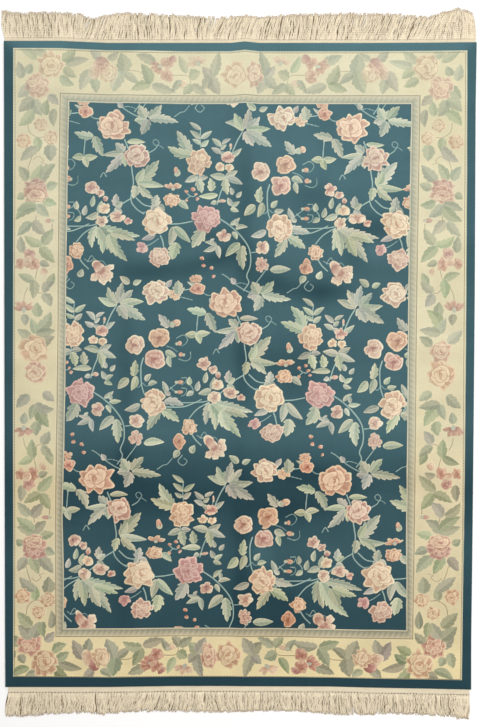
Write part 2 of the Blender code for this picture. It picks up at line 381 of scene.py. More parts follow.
def display(colour):
    """Display colours from 0 to 255 for linear ones."""
    colour = np.maximum(np.asarray(colour), 0.0)
    curve = CURVE_SCALE * colour ** (1 / CURVE_POWER) - CURVE_OFFSET
    return DISPLAY_WHITE * np.where(colour <= FOOT_LIGHT, colour * FOOT_SLOPE, curve)


# ---------------------------------------------------------------- the rug's plan, from the frame

def node_points(node):
    """The separate points of a solid's mesh, which holds several copies of each."""
    points = np.array([tuple(point.co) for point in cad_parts[node].data.vertices])
    return np.unique(points.round(6), axis=0)


class Plan:
    """The uneven outline of the pile body: left and right edges along y, near and far ones along x."""

    RING_HEIGHT = 0.006
    EDGE_BAND = 0.03

    def __init__(self, node):
        points = node_points(node)
        ring = points[np.abs(points[:, 2] - self.RING_HEIGHT) < 1e-4]
        self.low, self.high = (np.array(corner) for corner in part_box(node))
        self.left = self.edge(ring, ring[:, 0] < self.low[0] + self.EDGE_BAND, 1)
        self.right = self.edge(ring, ring[:, 0] > self.high[0] - self.EDGE_BAND, 1)
        self.near = self.edge(ring, ring[:, 1] < self.low[1] + self.EDGE_BAND, 0, -ENDS["near"].lip)
        self.far = self.edge(ring, ring[:, 1] > self.high[1] - self.EDGE_BAND, 0, ENDS["far"].lip)
        self.middle = np.array([
            self.low[0] + HALF_WIDTH,
            self.low[1] + HALF_LENGTH + NEAR_OVERRUN,
        ])

    @staticmethod
    def edge(ring, chosen, axis, lip=0.0):
        picked = ring[chosen]
        picked = picked[np.argsort(picked[:, axis])]
        return picked[:, axis], picked[:, 1 - axis] + lip

    def left_at(self, y):
        return np.interp(y, *self.left)

    def right_at(self, y):
        return np.interp(y, *self.right)

    def near_at(self, x):
        return np.interp(x, *self.near)

    def far_at(self, x):
        return np.interp(x, *self.far)

    def place(self, across, along):
        """World x and y of a point from its shares across and along the rug."""
        x = self.low[0] + across * (self.high[0] - self.low[0])
        y = self.near_at(x) + along * (self.far_at(x) - self.near_at(x))
        for _ in range(2):
            left = self.left_at(y)
            x = left + across * (self.right_at(y) - left)
            near = self.near_at(x)
            y = near + along * (self.far_at(x) - near)
        return x, y


def crease_height(x, y):
    """How far the creases lift the rug; where they cross, the larger one leads."""
    total = np.zeros_like(x)
    for crease in CREASES:
        run_x = crease.x1 - crease.x0
        run_y = crease.y1 - crease.y0
        length = math.hypot(run_x, run_y)
        along = ((x - crease.x0) * run_x + (y - crease.y0) * run_y) / length
        aside = np.abs((x - crease.x0) * run_y - (y - crease.y0) * run_x) / length
        fade = clamp(np.minimum(along, length - along) / CREASE_FADE + 0.5)
        ridge = 0.5 + 0.5 * np.cos(np.pi * clamp(aside / crease.half_width))
        total += (crease.height * fade * ridge) ** 2
    return np.sqrt(total)


def surface_wave(x, y):
    total = np.zeros_like(x)
    for wave in WAVES:
        total += wave.height * np.sin(TURN * (x / wave.across + y / wave.along) + wave.turn)
    return total


# ---------------------------------------------------------------- the chart

# The lines where the bands start, in chart centimetres. The rug wasn't woven quite square, so each line is
# given at several places along its side: y for the left and right sides, x for the near and far ends.
Station = namedtuple("Station", "along edging border guard field")
LEFT_LINES = (
    Station(-121, -88.2, -87.4, -71.6, -68.5),
    Station(-80, -88.2, -87.4, -71.8, -68.5),
    Station(-60, -88.2, -87.4, -71.8, -69.0),
    Station(-30, -88.2, -87.4, -71.45, -68.3),
    Station(0, -88.2, -87.4, -71.0, -67.8),
    Station(33, -88.2, -87.4, -70.75, -67.6),
    Station(80, -88.2, -87.3, -70.4, -66.9),
    Station(121, -88.2, -87.3, -69.7, -66.0),
)
RIGHT_LINES = (
    Station(-121, 86.3, 85.5, 67.1, 64.6),
    Station(-92, 86.65, 85.9, 67.45, 64.7),
    Station(-60, 87.15, 86.4, 67.9, 64.6),
    Station(-30, 87.5, 86.6, 68.3, 65.0),
    Station(0, 87.85, 86.8, 68.5, 65.2),
    Station(33, 88.05, 87.0, 68.9, 65.5),
    Station(80, 88.35, 87.3, 69.7, 66.25),
    Station(121, 88.4, 87.5, 70.3, 67.0),
)
NEAR_LINES = (
    Station(-88, -121.4, -121.0, -105.9, -102.6),
    Station(-30, -121.8, -121.4, -105.9, -102.6),
    Station(15, -121.8, -121.4, -106.0, -102.65),
    Station(35, -121.95, -121.5, -106.4, -102.95),
    Station(88, -121.85, -121.4, -106.4, -103.1),
)
FAR_LINES = (
    Station(-88, 122.3, 121.4, 105.05, 102.0),
    Station(-45, 122.2, 121.3, 104.95, 101.7),
    Station(-20, 121.8, 120.9, 104.6, 101.3),
    Station(88, 121.9, 121.0, 104.6, 101.35),
)
# How much of the painted sheen the plain edging shows on its left, right, near and far sides
EDGING_PAINTED_SHEEN = (0.45, 0.75, 0.0, 1.2)
MITRE_SOFTNESS = 1.2  # in centimetres, where one side's painted sheen goes over into the next at the corners

# Flower colours: seam lines, the deep root of a petal, its middle and its light rim
Tint = namedtuple("Tint", "seam deep middle light")
TINTS = {
    "mauve": Tint((158, 100, 96), (178, 120, 113), (202, 152, 142), (224, 186, 170)),
    "dusty": Tint((158, 104, 92), (178, 126, 110), (206, 166, 144), (236, 210, 182)),
    "dusty_cream": Tint((164, 112, 98), (183, 136, 120), (210, 174, 151), (236, 208, 180)),
    "pink": Tint((162, 100, 88), (182, 120, 105), (208, 160, 140), (234, 206, 178)),
    "pink_cream": Tint((160, 108, 93), (183, 132, 114), (214, 179, 153), (239, 216, 186)),
    "cream_pink": Tint((165, 117, 100), (188, 144, 123), (216, 185, 157), (240, 220, 188)),
    "cream": Tint((178, 128, 101), (200, 156, 125), (225, 192, 157), (242, 220, 186)),
    "peach": Tint((158, 104, 80), (183, 130, 101), (210, 164, 133), (240, 206, 169)),
    "peach_cream": Tint((168, 116, 90), (192, 143, 114), (222, 186, 152), (243, 216, 181)),
    "salmon": Tint((158, 96, 77), (180, 117, 94), (209, 152, 125), (238, 199, 165)),
    "salmon_cream": Tint((165, 107, 86), (188, 132, 107), (216, 174, 144), (243, 211, 177)),
    "orange": Tint((150, 94, 69), (170, 112, 85), (198, 144, 113), (226, 182, 147)),
    "pale_pink": Tint((176, 126, 104), (200, 156, 130), (220, 186, 155), (236, 212, 178)),
    "line_peach": Tint((160, 110, 82), (186, 138, 106), (214, 176, 140), (236, 210, 172)),
    "line_pink": Tint((154, 98, 84), (182, 126, 108), (210, 162, 138), (234, 204, 170)),
    "line_orange": Tint((162, 106, 74), (190, 136, 102), (214, 170, 134), (236, 206, 166)),
    "line_cream": Tint((168, 120, 94), (198, 154, 122), (222, 188, 152), (238, 213, 176)),
    "line_red": Tint((146, 88, 74), (170, 110, 92), (194, 140, 117), (220, 182, 152)),
    "line_mauve": Tint((144, 90, 82), (168, 112, 102), (194, 142, 127), (220, 182, 158)),
}

# Leaf colours: the darker half, the lighter half, the ribs and the rim
LeafTint = namedtuple("LeafTint", "dark light rib rim")
LEAF_TINTS = {
    "sage": LeafTint((156, 162, 138), (190, 188, 160), (212, 208, 180), (220, 217, 188)),
    "khaki": LeafTint((164, 168, 138), (196, 193, 160), (216, 212, 180), (223, 218, 186)),
    "grey": LeafTint((156, 158, 142), (188, 183, 163), (210, 204, 184), (218, 213, 189)),
    "mauve": LeafTint((160, 152, 144), (188, 178, 164), (208, 198, 184), (214, 206, 188)),
}
BORDER_LEAF_TINTS = {
    "grey": LeafTint((150, 147, 121), (173, 168, 139), (198, 191, 160), (194, 186, 152)),
    "green": LeafTint((147, 150, 113), (171, 171, 133), (197, 194, 156), (192, 188, 146)),
    "mauve": LeafTint((156, 148, 127), (178, 168, 145), (200, 190, 164), (196, 186, 156)),
}
# Each zone's leaf colours, the widest part of a leaf against its charted width, and how deep its teeth are
Leafage = namedtuple("Leafage", "tints fullness teeth")
FIELD_LEAFAGE = Leafage(LEAF_TINTS, 1.14, 0.36)
BORDER_LEAFAGE = Leafage(BORDER_LEAF_TINTS, 1.24, 0.20)
STEM_COLOUR = (156, 178, 168)
BORDER_STEM_COLOUR = (166, 144, 110)

# How strongly the border's motifs stand out from the cream ground, along the rug
Fade = namedtuple("Fade", "y strength")
BORDER_FADE = (
    Fade(-121, 1.0),
    Fade(-65, 0.90),
    Fade(10, 0.76),
    Fade(75, 0.76),
    Fade(112, 0.62),
)

Bloom = namedtuple("Bloom", "kind x y wide high tint turn")
Leaf = namedtuple("Leaf", "x y tip_x tip_y wide tint")
Stem = namedtuple("Stem", "wide points")

# One repeat of the field, measured from the middle of its mauve peony
FIELD_STEMS = (
    Stem(0.60, ((-31.8, 30.7), (-30.6, 27.6), (-29.6, 24.1), (-29.0, 18.7), (-28.4, 13.7), (-29.4, 7.4),
                (-27.3, 3.9), (-24.3, 1.8))),
    Stem(0.55, ((-29.4, 7.8), (-32.7, 5.8), (-35.8, 3.1), (-38.9, 0.4), (-43.6, -2.3), (-49.5, -2.9),
                (-55.3, -2.9))),
    Stem(0.55, ((-42.8, -2.7), (-47.5, -5.5), (-50.6, -9.0))),
    Stem(0.60, ((-50.2, -14.0), (-48.3, -17.1), (-45.9, -19.5))),
    Stem(0.55, ((-27.3, 8.0), (-24.5, 5.5), (-21.8, 4.8), (-19.5, 4.9))),
    Stem(0.35, ((-25.3, 2.3), (-22.6, 2.6), (-20.2, 1.9))),
    Stem(0.55, ((-14.0, -2.1), (-10.1, -1.9), (-5.5, -1.0))),
    Stem(0.60, ((-17.9, -6.6), (-17.1, -8.6), (-16.5, -11.7))),
    Stem(0.35, ((-24.1, -10.9), (-21.4, -9.7), (-18.7, -7.8))),
    Stem(0.45, ((-2.3, 35.0), (-2.5, 31.2), (-2.3, 27.6))),
    Stem(0.40, ((9.3, 27.6), (9.0, 25.7))),
    Stem(0.60, ((7.3, 16.0), (6.6, 12.9), (5.3, 9.7), (4.1, 5.5))),
    Stem(0.45, ((-7.8, 10.1), (-6.6, 9.0), (-5.1, 8.6), (-3.9, 9.3))),
    Stem(0.40, ((-6.6, 8.6), (-8.6, 7.0), (-10.9, 6.2))),
    Stem(0.50, ((-3.3, 16.0), (-3.5, 17.5), (-3.1, 19.5))),
    Stem(0.60, ((5.1, 0.0), (9.1, -2.7), (13.2, -6.6), (16.2, -10.9), (17.1, -14.8), (16.9, -18.7),
                (15.6, -22.2), (16.4, -24.9), (14.4, -28.0))),
    Stem(0.40, ((17.5, -13.2), (20.2, -12.9), (21.8, -12.5))),
    Stem(0.60, ((24.5, 13.2), (23.6, 9.7), (23.8, 3.1), (24.9, -0.8))),
    Stem(0.30, ((20.2, 3.1), (22.6, 1.9), (24.1, 3.5), (25.7, 2.3), (27.6, 3.1))),
    Stem(0.60, ((32.7, -5.8), (39.3, -5.8), (43.2, -4.7), (47.1, -2.9))),
    Stem(0.35, ((34.3, 0.8), (36.2, 2.3), (37.8, 3.5))),
    Stem(0.35, ((35.0, 1.9), (36.6, 0.4), (37.8, 0.0))),
    Stem(0.40, ((42.4, 3.1), (43.6, 1.6), (44.0, 0.0))),
    Stem(0.60, ((23.4, 35.0), (20.6, 34.5), (17.9, 34.1))),
    Stem(0.65, ((14.0, 33.5), (12.1, 30.4), (10.7, 27.3), (9.3, 24.1))),
    Stem(0.60, ((34.3, 39.3), (37.4, 39.3), (40.5, 39.7), (43.6, 40.1))),
    Stem(0.35, ((37.0, 37.4), (40.5, 36.6), (43.6, 35.8))),
    Stem(0.45, ((-47.1, 31.5), (-47.5, 27.3), (-47.7, 24.1))),
    Stem(0.40, ((-40.5, 38.9), (-43.6, 38.9), (-45.9, 40.5))),
    Stem(0.45, ((-22.2, 25.7), (-20.2, 26.9), (-19.3, 28.0))),
    Stem(0.30, ((-19.3, 28.0), (-18.5, 29.6), (-19.7, 30.8), (-20.8, 30.0), (-20.1, 28.6), (-18.3, 28.4),
                (-16.7, 27.3))),
    Stem(0.45, ((-23.4, 38.9), (-25.7, 40.9), (-24.5, 43.6), (-22.2, 46.7), (-20.2, 49.5))),
    Stem(0.45, ((-25.7, 39.3), (-29.2, 40.9), (-32.7, 43.2), (-35.8, 45.9), (-37.8, 47.1))),
    Stem(0.30, ((-32.7, 43.2), (-30.4, 43.6), (-27.6, 42.8))),
    Stem(0.35, ((-12.5, 39.7), (-10.1, 41.3), (-8.6, 41.7), (-6.6, 44.0))),
    Stem(0.30, ((-47.5, -15.6), (-45.6, -16.7), (-43.6, -15.6), (-42.4, -16.7), (-40.5, -16.4),
                (-38.9, -18.3))),
    Stem(0.30, ((-46.3, -16.7), (-44.8, -14.4), (-43.6, -15.6))),
    Stem(0.35, ((-53.3, -23.4), (-54.9, -25.7), (-53.0, -27.3), (-51.4, -25.7), (-52.6, -24.5))),
    Stem(0.30, ((37.4, 21.0), (40.1, 22.2), (41.7, 20.6), (40.9, 18.7), (39.3, 17.9))),
    Stem(0.30, ((38.2, 12.9), (40.9, 12.1), (42.8, 13.2), (42.8, 15.6))),
    Stem(0.30, ((33.5, 17.9), (35.8, 17.1), (37.8, 15.6))),
    Stem(0.30, ((39.3, 5.5), (41.3, 5.5), (40.9, 3.9), (39.3, 2.7))),
    Stem(0.30, ((39.3, 1.6), (41.3, 1.2), (40.9, -0.8), (39.3, -1.6))),
    Stem(0.40, ((-38.9, 16.4), (-40.1, 17.9), (-41.3, 16.0))),
)
FIELD_LEAVES = (
    # the spray left of the carnation rose, and the two sprigs above it
    Leaf(-6.0, 24.9, -11.5, 34.3, 4.3, "sage"),
    Leaf(-6.0, 24.9, -15.0, 28.4, 3.9, "khaki"),
    Leaf(-2.3, 34.7, -6.6, 37.6, 1.6, "sage"),
    Leaf(-2.3, 31.2, -6.4, 34.3, 1.8, "sage"),
    Leaf(-2.1, 31.2, 2.1, 34.1, 1.8, "sage"),
    Leaf(-2.3, 29.0, -5.6, 30.8, 1.5, "sage"),
    Leaf(-2.1, 28.2, 0.8, 30.6, 1.8, "sage"),
    Leaf(5.6, 28.2, 2.1, 31.2, 1.8, "grey"),
    Leaf(6.0, 29.2, 9.5, 31.0, 1.4, "grey"),
    Leaf(5.6, 25.7, 1.8, 27.6, 1.8, "grey"),
    Leaf(5.6, 26.9, 7.8, 28.6, 1.6, "grey"),
    # between the carnation rose and the peony
    Leaf(7.3, 16.0, 1.4, 16.9, 2.5, "sage"),
    Leaf(7.3, 16.0, 12.1, 18.5, 2.3, "grey"),
    Leaf(7.8, 16.0, 14.0, 13.2, 2.3, "grey"),
    Leaf(7.3, 15.6, 8.4, 9.3, 3.1, "khaki"),
    Leaf(-3.5, 16.2, -8.4, 14.2, 2.3, "grey"),
    Leaf(-3.1, 16.4, 0.6, 16.2, 1.9, "grey"),
    Leaf(-3.3, 15.6, -1.9, 9.9, 3.3, "khaki"),
    Leaf(1.9, 10.7, 1.2, 15.8, 3.1, "khaki"),
    Leaf(4.3, 9.2, -3.1, 8.8, 2.1, "khaki"),
    Leaf(-10.9, 7.0, -7.0, 3.7, 2.3, "sage"),
    Leaf(-11.7, 16.4, -11.3, 19.5, 2.1, "sage"),
    Leaf(3.9, 6.6, 1.6, 5.8, 1.6, "grey"),
    # small leaves right of the peony
    Leaf(9.7, 5.1, 8.2, 8.2, 1.8, "grey"),
    Leaf(9.7, 4.7, 12.9, 6.6, 1.6, "sage"),
    Leaf(9.3, 3.9, 12.5, 2.7, 1.6, "sage"),
    Leaf(10.1, 9.3, 9.3, 12.1, 1.6, "grey"),
    Leaf(11.7, 8.2, 13.6, 10.5, 1.6, "grey"),
    Leaf(9.3, -2.3, 12.9, 0.4, 1.6, "sage"),
    Leaf(11.3, -3.9, 16.0, -3.5, 1.6, "sage"),
    Leaf(10.1, -5.1, 11.7, -8.2, 1.6, "sage"),
    Leaf(12.1, -3.1, 11.3, 0.0, 1.4, "grey"),
    # the ivy leaf and the long spray on the main stem
    Leaf(-19.9, 4.7, -19.1, 9.3, 3.5, "grey"),
    Leaf(-19.9, 5.1, -21.6, 3.1, 1.9, "grey"),
    Leaf(-19.1, 5.1, -16.2, 2.9, 2.3, "grey"),
    Leaf(-26.9, 13.7, -18.7, 22.8, 5.1, "sage"),
    Leaf(-26.9, 14.0, -24.1, 19.3, 2.7, "khaki"),
    Leaf(-26.9, 13.6, -16.4, 12.3, 2.5, "sage"),
    Leaf(-26.5, 12.9, -20.6, 8.0, 3.1, "khaki"),
    Leaf(-27.8, 12.9, -28.7, 7.8, 3.1, "khaki"),
    # round the dusty rose and the great salmon peony
    Leaf(-30.8, 29.8, -23.8, 29.6, 1.9, "khaki"),
    Leaf(-31.9, 26.1, -35.4, 29.4, 3.5, "grey"),
    Leaf(-32.3, 25.5, -40.5, 24.7, 2.1, "sage"),
    Leaf(-32.3, 24.9, -39.3, 17.9, 3.5, "grey"),
    Leaf(-31.5, 25.3, -31.5, 20.2, 3.3, "sage"),
    Leaf(-38.2, 33.1, -42.6, 37.8, 3.5, "grey"),
    Leaf(-44.0, 31.9, -51.4, 33.5, 3.3, "sage"),
    Leaf(-43.6, 31.9, -40.1, 24.3, 3.7, "sage"),
    Leaf(-45.2, 40.5, -51.4, 44.0, 1.6, "grey"),
    Leaf(-47.7, 23.8, -52.2, 23.6, 2.5, "khaki"),
    Leaf(-47.7, 23.8, -42.4, 24.3, 2.3, "khaki"),
    Leaf(-47.7, 23.8, -46.3, 19.9, 2.3, "khaki"),
    # the cluster right of the great peony
    Leaf(-23.4, 38.9, -28.0, 38.2, 3.5, "grey"),
    Leaf(-23.4, 39.3, -26.1, 44.0, 4.3, "sage"),
    Leaf(-22.6, 39.3, -17.7, 44.4, 3.7, "sage"),
    Leaf(-22.2, 38.9, -10.9, 37.2, 3.3, "sage"),
    Leaf(-22.8, 38.6, -25.3, 32.7, 3.9, "grey"),
    Leaf(-32.7, 43.2, -34.3, 45.6, 1.9, "mauve"),
    Leaf(-54.5, 39.1, -54.9, 44.6, 4.3, "sage"),
    Leaf(-59.2, 42.1, -57.2, 44.8, 1.9, "mauve"),
    # the palmate leaf
    Leaf(14.4, 34.1, 7.0, 37.0, 2.7, "sage"),
    Leaf(14.4, 34.3, 10.9, 40.9, 3.5, "sage"),
    Leaf(14.8, 34.7, 16.4, 42.6, 3.5, "grey"),
    Leaf(15.6, 34.3, 20.6, 39.7, 3.3, "grey"),
    Leaf(15.6, 34.3, 24.7, 35.0, 2.7, "sage"),
    Leaf(15.6, 33.9, 25.3, 28.0, 4.3, "grey"),
    Leaf(14.8, 33.5, 18.3, 28.2, 3.9, "grey"),
    Leaf(19.1, 42.1, 15.4, 45.0, 2.3, "sage"),
    Leaf(20.6, 41.9, 23.8, 43.4, 1.9, "sage"),
    Leaf(9.3, 24.1, 13.6, 27.3, 1.8, "grey"),
    Leaf(8.6, 24.1, 4.7, 26.1, 1.8, "grey"),
    # round the three open flowers
    Leaf(34.3, 25.1, 30.4, 30.2, 3.3, "grey"),
    Leaf(35.0, 25.3, 36.6, 27.6, 2.3, "sage"),
    Leaf(33.1, 15.8, 37.4, 14.0, 2.5, "sage"),
    Leaf(34.3, 14.0, 35.4, 9.7, 1.9, "sage"),
    Leaf(20.6, 6.2, 21.4, 12.5, 3.1, "khaki"),
    Leaf(18.7, 5.3, 14.6, 1.2, 2.9, "khaki"),
    Leaf(21.8, 6.2, 19.7, 0.6, 2.5, "khaki"),
    Leaf(25.3, 4.3, 27.6, 7.0, 1.9, "sage"),
    Leaf(26.5, 2.9, 30.0, 3.5, 1.8, "sage"),
    # round the peach rose and the seed buds
    Leaf(33.9, -0.2, 31.9, 4.3, 1.9, "grey"),
    Leaf(35.0, -1.2, 32.7, 0.4, 1.6, "grey"),
    Leaf(42.4, 2.7, 42.4, 6.0, 1.9, "sage"),
    Leaf(45.2, 0.4, 46.1, 4.3, 1.9, "grey"),
    Leaf(44.0, 0.0, 41.3, -1.6, 1.8, "sage"),
    Leaf(23.2, -4.8, 17.1, -6.8, 2.5, "grey"),
    Leaf(32.7, -3.5, 40.1, -5.3, 3.3, "grey"),
    Leaf(30.8, -7.6, 26.3, -15.0, 3.7, "khaki"),
    Leaf(31.7, -7.0, 38.4, -11.7, 3.7, "khaki"),
    Leaf(24.7, -19.9, 32.7, -19.7, 2.7, "sage"),
    # below the peony
    Leaf(14.0, -10.5, 14.6, -19.9, 3.9, "sage"),
    Leaf(12.9, -9.5, 7.4, -14.8, 2.9, "sage"),
    Leaf(4.1, -10.5, -0.8, -9.2, 1.6, "grey"),
    Leaf(3.9, -10.7, -1.2, -12.7, 1.9, "grey"),
    Leaf(4.3, -10.5, 5.1, -15.4, 1.9, "grey"),
    Leaf(1.6, -9.3, 3.1, -7.8, 1.2, "grey"),
    Leaf(-1.2, -4.5, -5.5, -11.3, 4.9, "sage"),
    Leaf(-12.9, -3.1, -14.6, -10.5, 2.9, "sage"),
    Leaf(-12.5, -3.1, -6.2, -9.3, 2.7, "sage"),
    Leaf(-11.7, -9.3, -13.2, -16.0, 4.5, "khaki"),
    Leaf(-19.9, -6.2, -25.3, -8.0, 2.1, "mauve"),
    # round the string of flowers, the trumpet and the poppy
    Leaf(-54.5, -21.4, -56.5, -24.5, 2.3, "sage"),
    Leaf(-49.8, -22.6, -48.3, -19.5, 2.3, "sage"),
    Leaf(-35.0, 4.7, -35.0, 9.7, 3.1, "grey"),
    Leaf(-35.4, 4.7, -32.7, 6.6, 2.3, "sage"),
    Leaf(-35.8, 3.9, -32.7, 2.3, 1.9, "grey"),
    Leaf(-44.6, 4.7, -43.8, 9.0, 1.8, "sage"),
    Leaf(-41.9, 2.3, -40.9, 7.0, 2.3, "sage"),
    Leaf(-42.1, 2.1, -47.1, 0.6, 2.3, "sage"),
    # the acanthus
    Leaf(-42.8, -3.0, -44.2, -11.5, 3.1, "sage"),
    Leaf(-42.2, -3.4, -40.7, -13.6, 3.9, "khaki"),
    Leaf(-41.6, -3.0, -25.7, -6.6, 3.5, "sage"),
    Leaf(-41.8, -3.2, -30.6, -16.4, 4.9, "sage"),
    Leaf(-38.0, -6.0, -34.3, -13.8, 4.1, "khaki"),
    Leaf(-37.2, -5.6, -27.8, -8.6, 3.3, "khaki"),
)
FIELD_BLOOMS = (
    Bloom("peony", 0.0, 0.0, 10.9, 10.9, "mauve", 20),
    Bloom("peony", -3.0, 22.4, 9.5, 10.5, "peach_cream", 80),
    Bloom("blossom", 8.4, 23.8, 5.8, 4.7, "pink", 0),
    Bloom("blossom", 5.2, 20.2, 3.9, 3.7, "cream", 20),
    Bloom("blossom", 8.8, 19.8, 3.7, 3.1, "cream", 50),
    Bloom("bud", 9.4, 28.2, 1.8, 2.4, "pink", 90),
    Bloom("bud", -11.9, 18.5, 2.5, 3.7, "salmon", 92),
    Bloom("fan", -13.0, 12.6, 6.0, 3.4, "peach", 90),
    Bloom("rose", -13.6, 7.2, 6.2, 5.1, "peach", 0),
    Bloom("berry", -7.8, 10.3, 2.2, 2.0, "salmon", 70),
    Bloom("berry", -5.5, 11.4, 2.6, 2.2, "salmon", 30),
    Bloom("berry", -4.4, 9.6, 2.1, 1.8, "salmon", -40),
    Bloom("berry", -3.7, 7.9, 2.0, 1.8, "pink", -60),
    Bloom("berry", -7.6, 7.2, 1.9, 1.8, "peach", 200),
    Bloom("bud", 5.8, 6.9, 3.3, 2.3, "pink", 10),
    Bloom("rose", -36.1, 36.1, 12.5, 11.1, "salmon_cream", 200),
    Bloom("rose", -27.1, 24.1, 9.7, 9.0, "dusty", 150),
    Bloom("rose", -19.4, -1.2, 11.7, 10.7, "cream", 40),
    Bloom("peony", -18.3, -14.8, 8.8, 8.0, "dusty_cream", 110),
    Bloom("blossom", -25.1, -11.2, 5.1, 4.7, "mauve", 60),
    Bloom("blossom", -44.8, 12.1, 5.5, 5.5, "dusty", 10),
    Bloom("blossom", -41.3, 10.0, 3.7, 3.3, "dusty", 40),
    Bloom("petal", -39.3, 7.8, 2.3, 2.7, "dusty", 80),
    Bloom("blossom", -39.5, 4.0, 4.9, 4.5, "cream", 30),
    Bloom("blossom", -34.5, 0.8, 7.0, 4.7, "pink_cream", 70),
    Bloom("blossom", -30.4, -0.9, 3.5, 2.9, "pink", 15),
    Bloom("blossom", -40.7, -0.9, 5.3, 5.1, "cream_pink", 45),
    Bloom("rose", -50.6, -12.3, 5.8, 6.0, "peach", 15),
    Bloom("trumpet", -40.9, -20.2, 10.5, 10.5, "pink_cream", -50),
    Bloom("poppy", -54.5, -17.9, 5.1, 6.4, "orange", 80),
    Bloom("blossom", 6.8, -6.6, 5.6, 5.6, "dusty", 10),
    Bloom("blossom", 21.8, -11.1, 6.0, 5.6, "pink_cream", 70),
    Bloom("rosette", 21.6, -17.9, 5.5, 6.4, "dusty", 0),
    Bloom("rose", 28.6, -3.7, 9.9, 10.3, "peach_cream", 260),
    Bloom("poppy", 21.2, 18.3, 7.8, 8.0, "pink_cream", 20),
    Bloom("poppy", 30.7, 21.2, 8.4, 7.6, "peach", 60),
    Bloom("poppy", 29.0, 12.9, 8.2, 7.6, "pink", 45),
    Bloom("hole", 27.6, 17.5, 2.1, 1.3, "pink", 0),
    Bloom("bud", 37.2, 26.8, 4.1, 3.9, "salmon_cream", 20),
    Bloom("bud", 38.4, 18.9, 2.7, 2.7, "salmon", 10),
    Bloom("bud", 39.3, 14.6, 2.7, 2.7, "salmon", 170),
    Bloom("bud", 38.6, 3.8, 3.5, 2.5, "orange", 0),
    Bloom("bud", 38.4, 0.0, 3.3, 2.3, "orange", 0),
    Bloom("rose", 29.4, 39.1, 10.1, 8.8, "cream_pink", 60),
    Bloom("rosette", 36.7, 38.0, 5.3, 4.5, "peach_cream", 0),
    Bloom("poppy", -47.1, 41.5, 5.8, 5.1, "salmon", 100),
    Bloom("rosette", -47.9, 45.2, 5.1, 3.5, "peach", 0),
    Bloom("berry", -45.6, 53.0, 2.6, 2.4, "salmon", 80),
    Bloom("berry", -45.0, 50.6, 2.2, 2.0, "salmon", 250),
    Bloom("berry", -42.1, 49.3, 2.4, 2.1, "salmon", 10),
    Bloom("berry", -41.3, 46.3, 2.3, 2.0, "salmon", -30),
)

# Rows of repeats: the place of one peony in each, and how far the next to its right stands lower
Row = namedtuple("Row", "x y drop")
FIELD_ROWS = (
    Row(-55.4, 126.3, 0.9),
    Row(-13.0, 56.7, 0.9),
    Row(-62.1, -10.7, 1.2),
    Row(-19.7, -80.4, 0.9),
    Row(-68.7, -147.9, 0.9),
)
PERIOD = 92.9

# The border's end bands: x along the rug's width and y inwards from the border's outer line. This is
# the left half of the far band; the others are turned from it.
END_LEAVES = (
    Leaf(-79.0, 3.5, -86.4, -0.8, 2.9, "green"),
    Leaf(-75.2, 1.6, -80.6, 0.0, 2.7, "grey"),
    Leaf(-84.9, 10.9, -86.4, 4.3, 3.5, "grey"),
    Leaf(-82.9, 9.0, -81.0, 5.1, 3.1, "grey"),
    Leaf(-82.2, 12.9, -86.8, 17.9, 3.9, "grey"),
    Leaf(-69.3, 3.9, -63.9, -0.4, 3.7, "green"),
    Leaf(-67.8, 5.5, -58.4, 3.1, 2.9, "grey"),
    Leaf(-68.5, 6.6, -63.5, 10.1, 3.3, "green"),
    Leaf(-70.1, 10.1, -64.3, 13.2, 3.3, "green"),
    Leaf(-54.1, 3.1, -58.4, -0.6, 3.3, "mauve"),
    Leaf(-51.4, 2.7, -47.1, -0.2, 2.5, "grey"),
    Leaf(-45.3, 8.2, -46.5, 0.0, 5.3, "grey"),
    Leaf(-45.9, 7.4, -49.1, 15.6, 5.1, "grey"),
    Leaf(-44.8, 7.8, -39.3, 12.1, 2.7, "grey"),
    Leaf(-58.0, 7.0, -62.1, 15.2, 4.1, "mauve"),
    Leaf(-57.0, 10.1, -55.9, 16.0, 3.5, "grey"),
    Leaf(-32.7, 3.9, -40.5, 0.8, 3.5, "grey"),
    Leaf(-34.7, 12.1, -38.6, 4.3, 3.9, "green"),
    Leaf(-34.7, 12.1, -42.4, 14.8, 3.5, "green"),
    Leaf(-34.3, 12.5, -24.9, 15.2, 3.5, "grey"),
    Leaf(-20.6, 7.8, -23.8, 0.8, 2.7, "green"),
    Leaf(-19.5, 9.7, -15.2, 7.4, 3.9, "green"),
    Leaf(-18.7, 12.1, -22.2, 16.0, 3.3, "green"),
    Leaf(-18.7, 12.1, -12.9, 16.0, 3.1, "grey"),
    Leaf(-10.9, 9.3, -8.2, -0.8, 3.7, "grey"),
    Leaf(-10.9, 9.0, -14.4, 5.1, 3.3, "mauve"),
    Leaf(-10.9, 9.3, -14.6, 14.0, 3.9, "grey"),
    Leaf(-10.9, 9.3, -7.6, 16.0, 4.3, "mauve"),
    Leaf(-23.0, 10.5, -26.5, 15.2, 2.3, "grey"),
)
END_STEMS = (
    Stem(0.40, ((-43.6, 7.0), (-39.7, 7.2), (-38.2, 8.2))),
    Stem(0.40, ((-42.1, 9.3), (-39.7, 11.3), (-36.6, 12.3))),
    Stem(0.40, ((-26.1, 8.6), (-21.0, 8.6), (-19.5, 9.7), (-18.9, 12.9))),
    Stem(0.30, ((-24.9, 10.5), (-22.2, 13.6))),
)
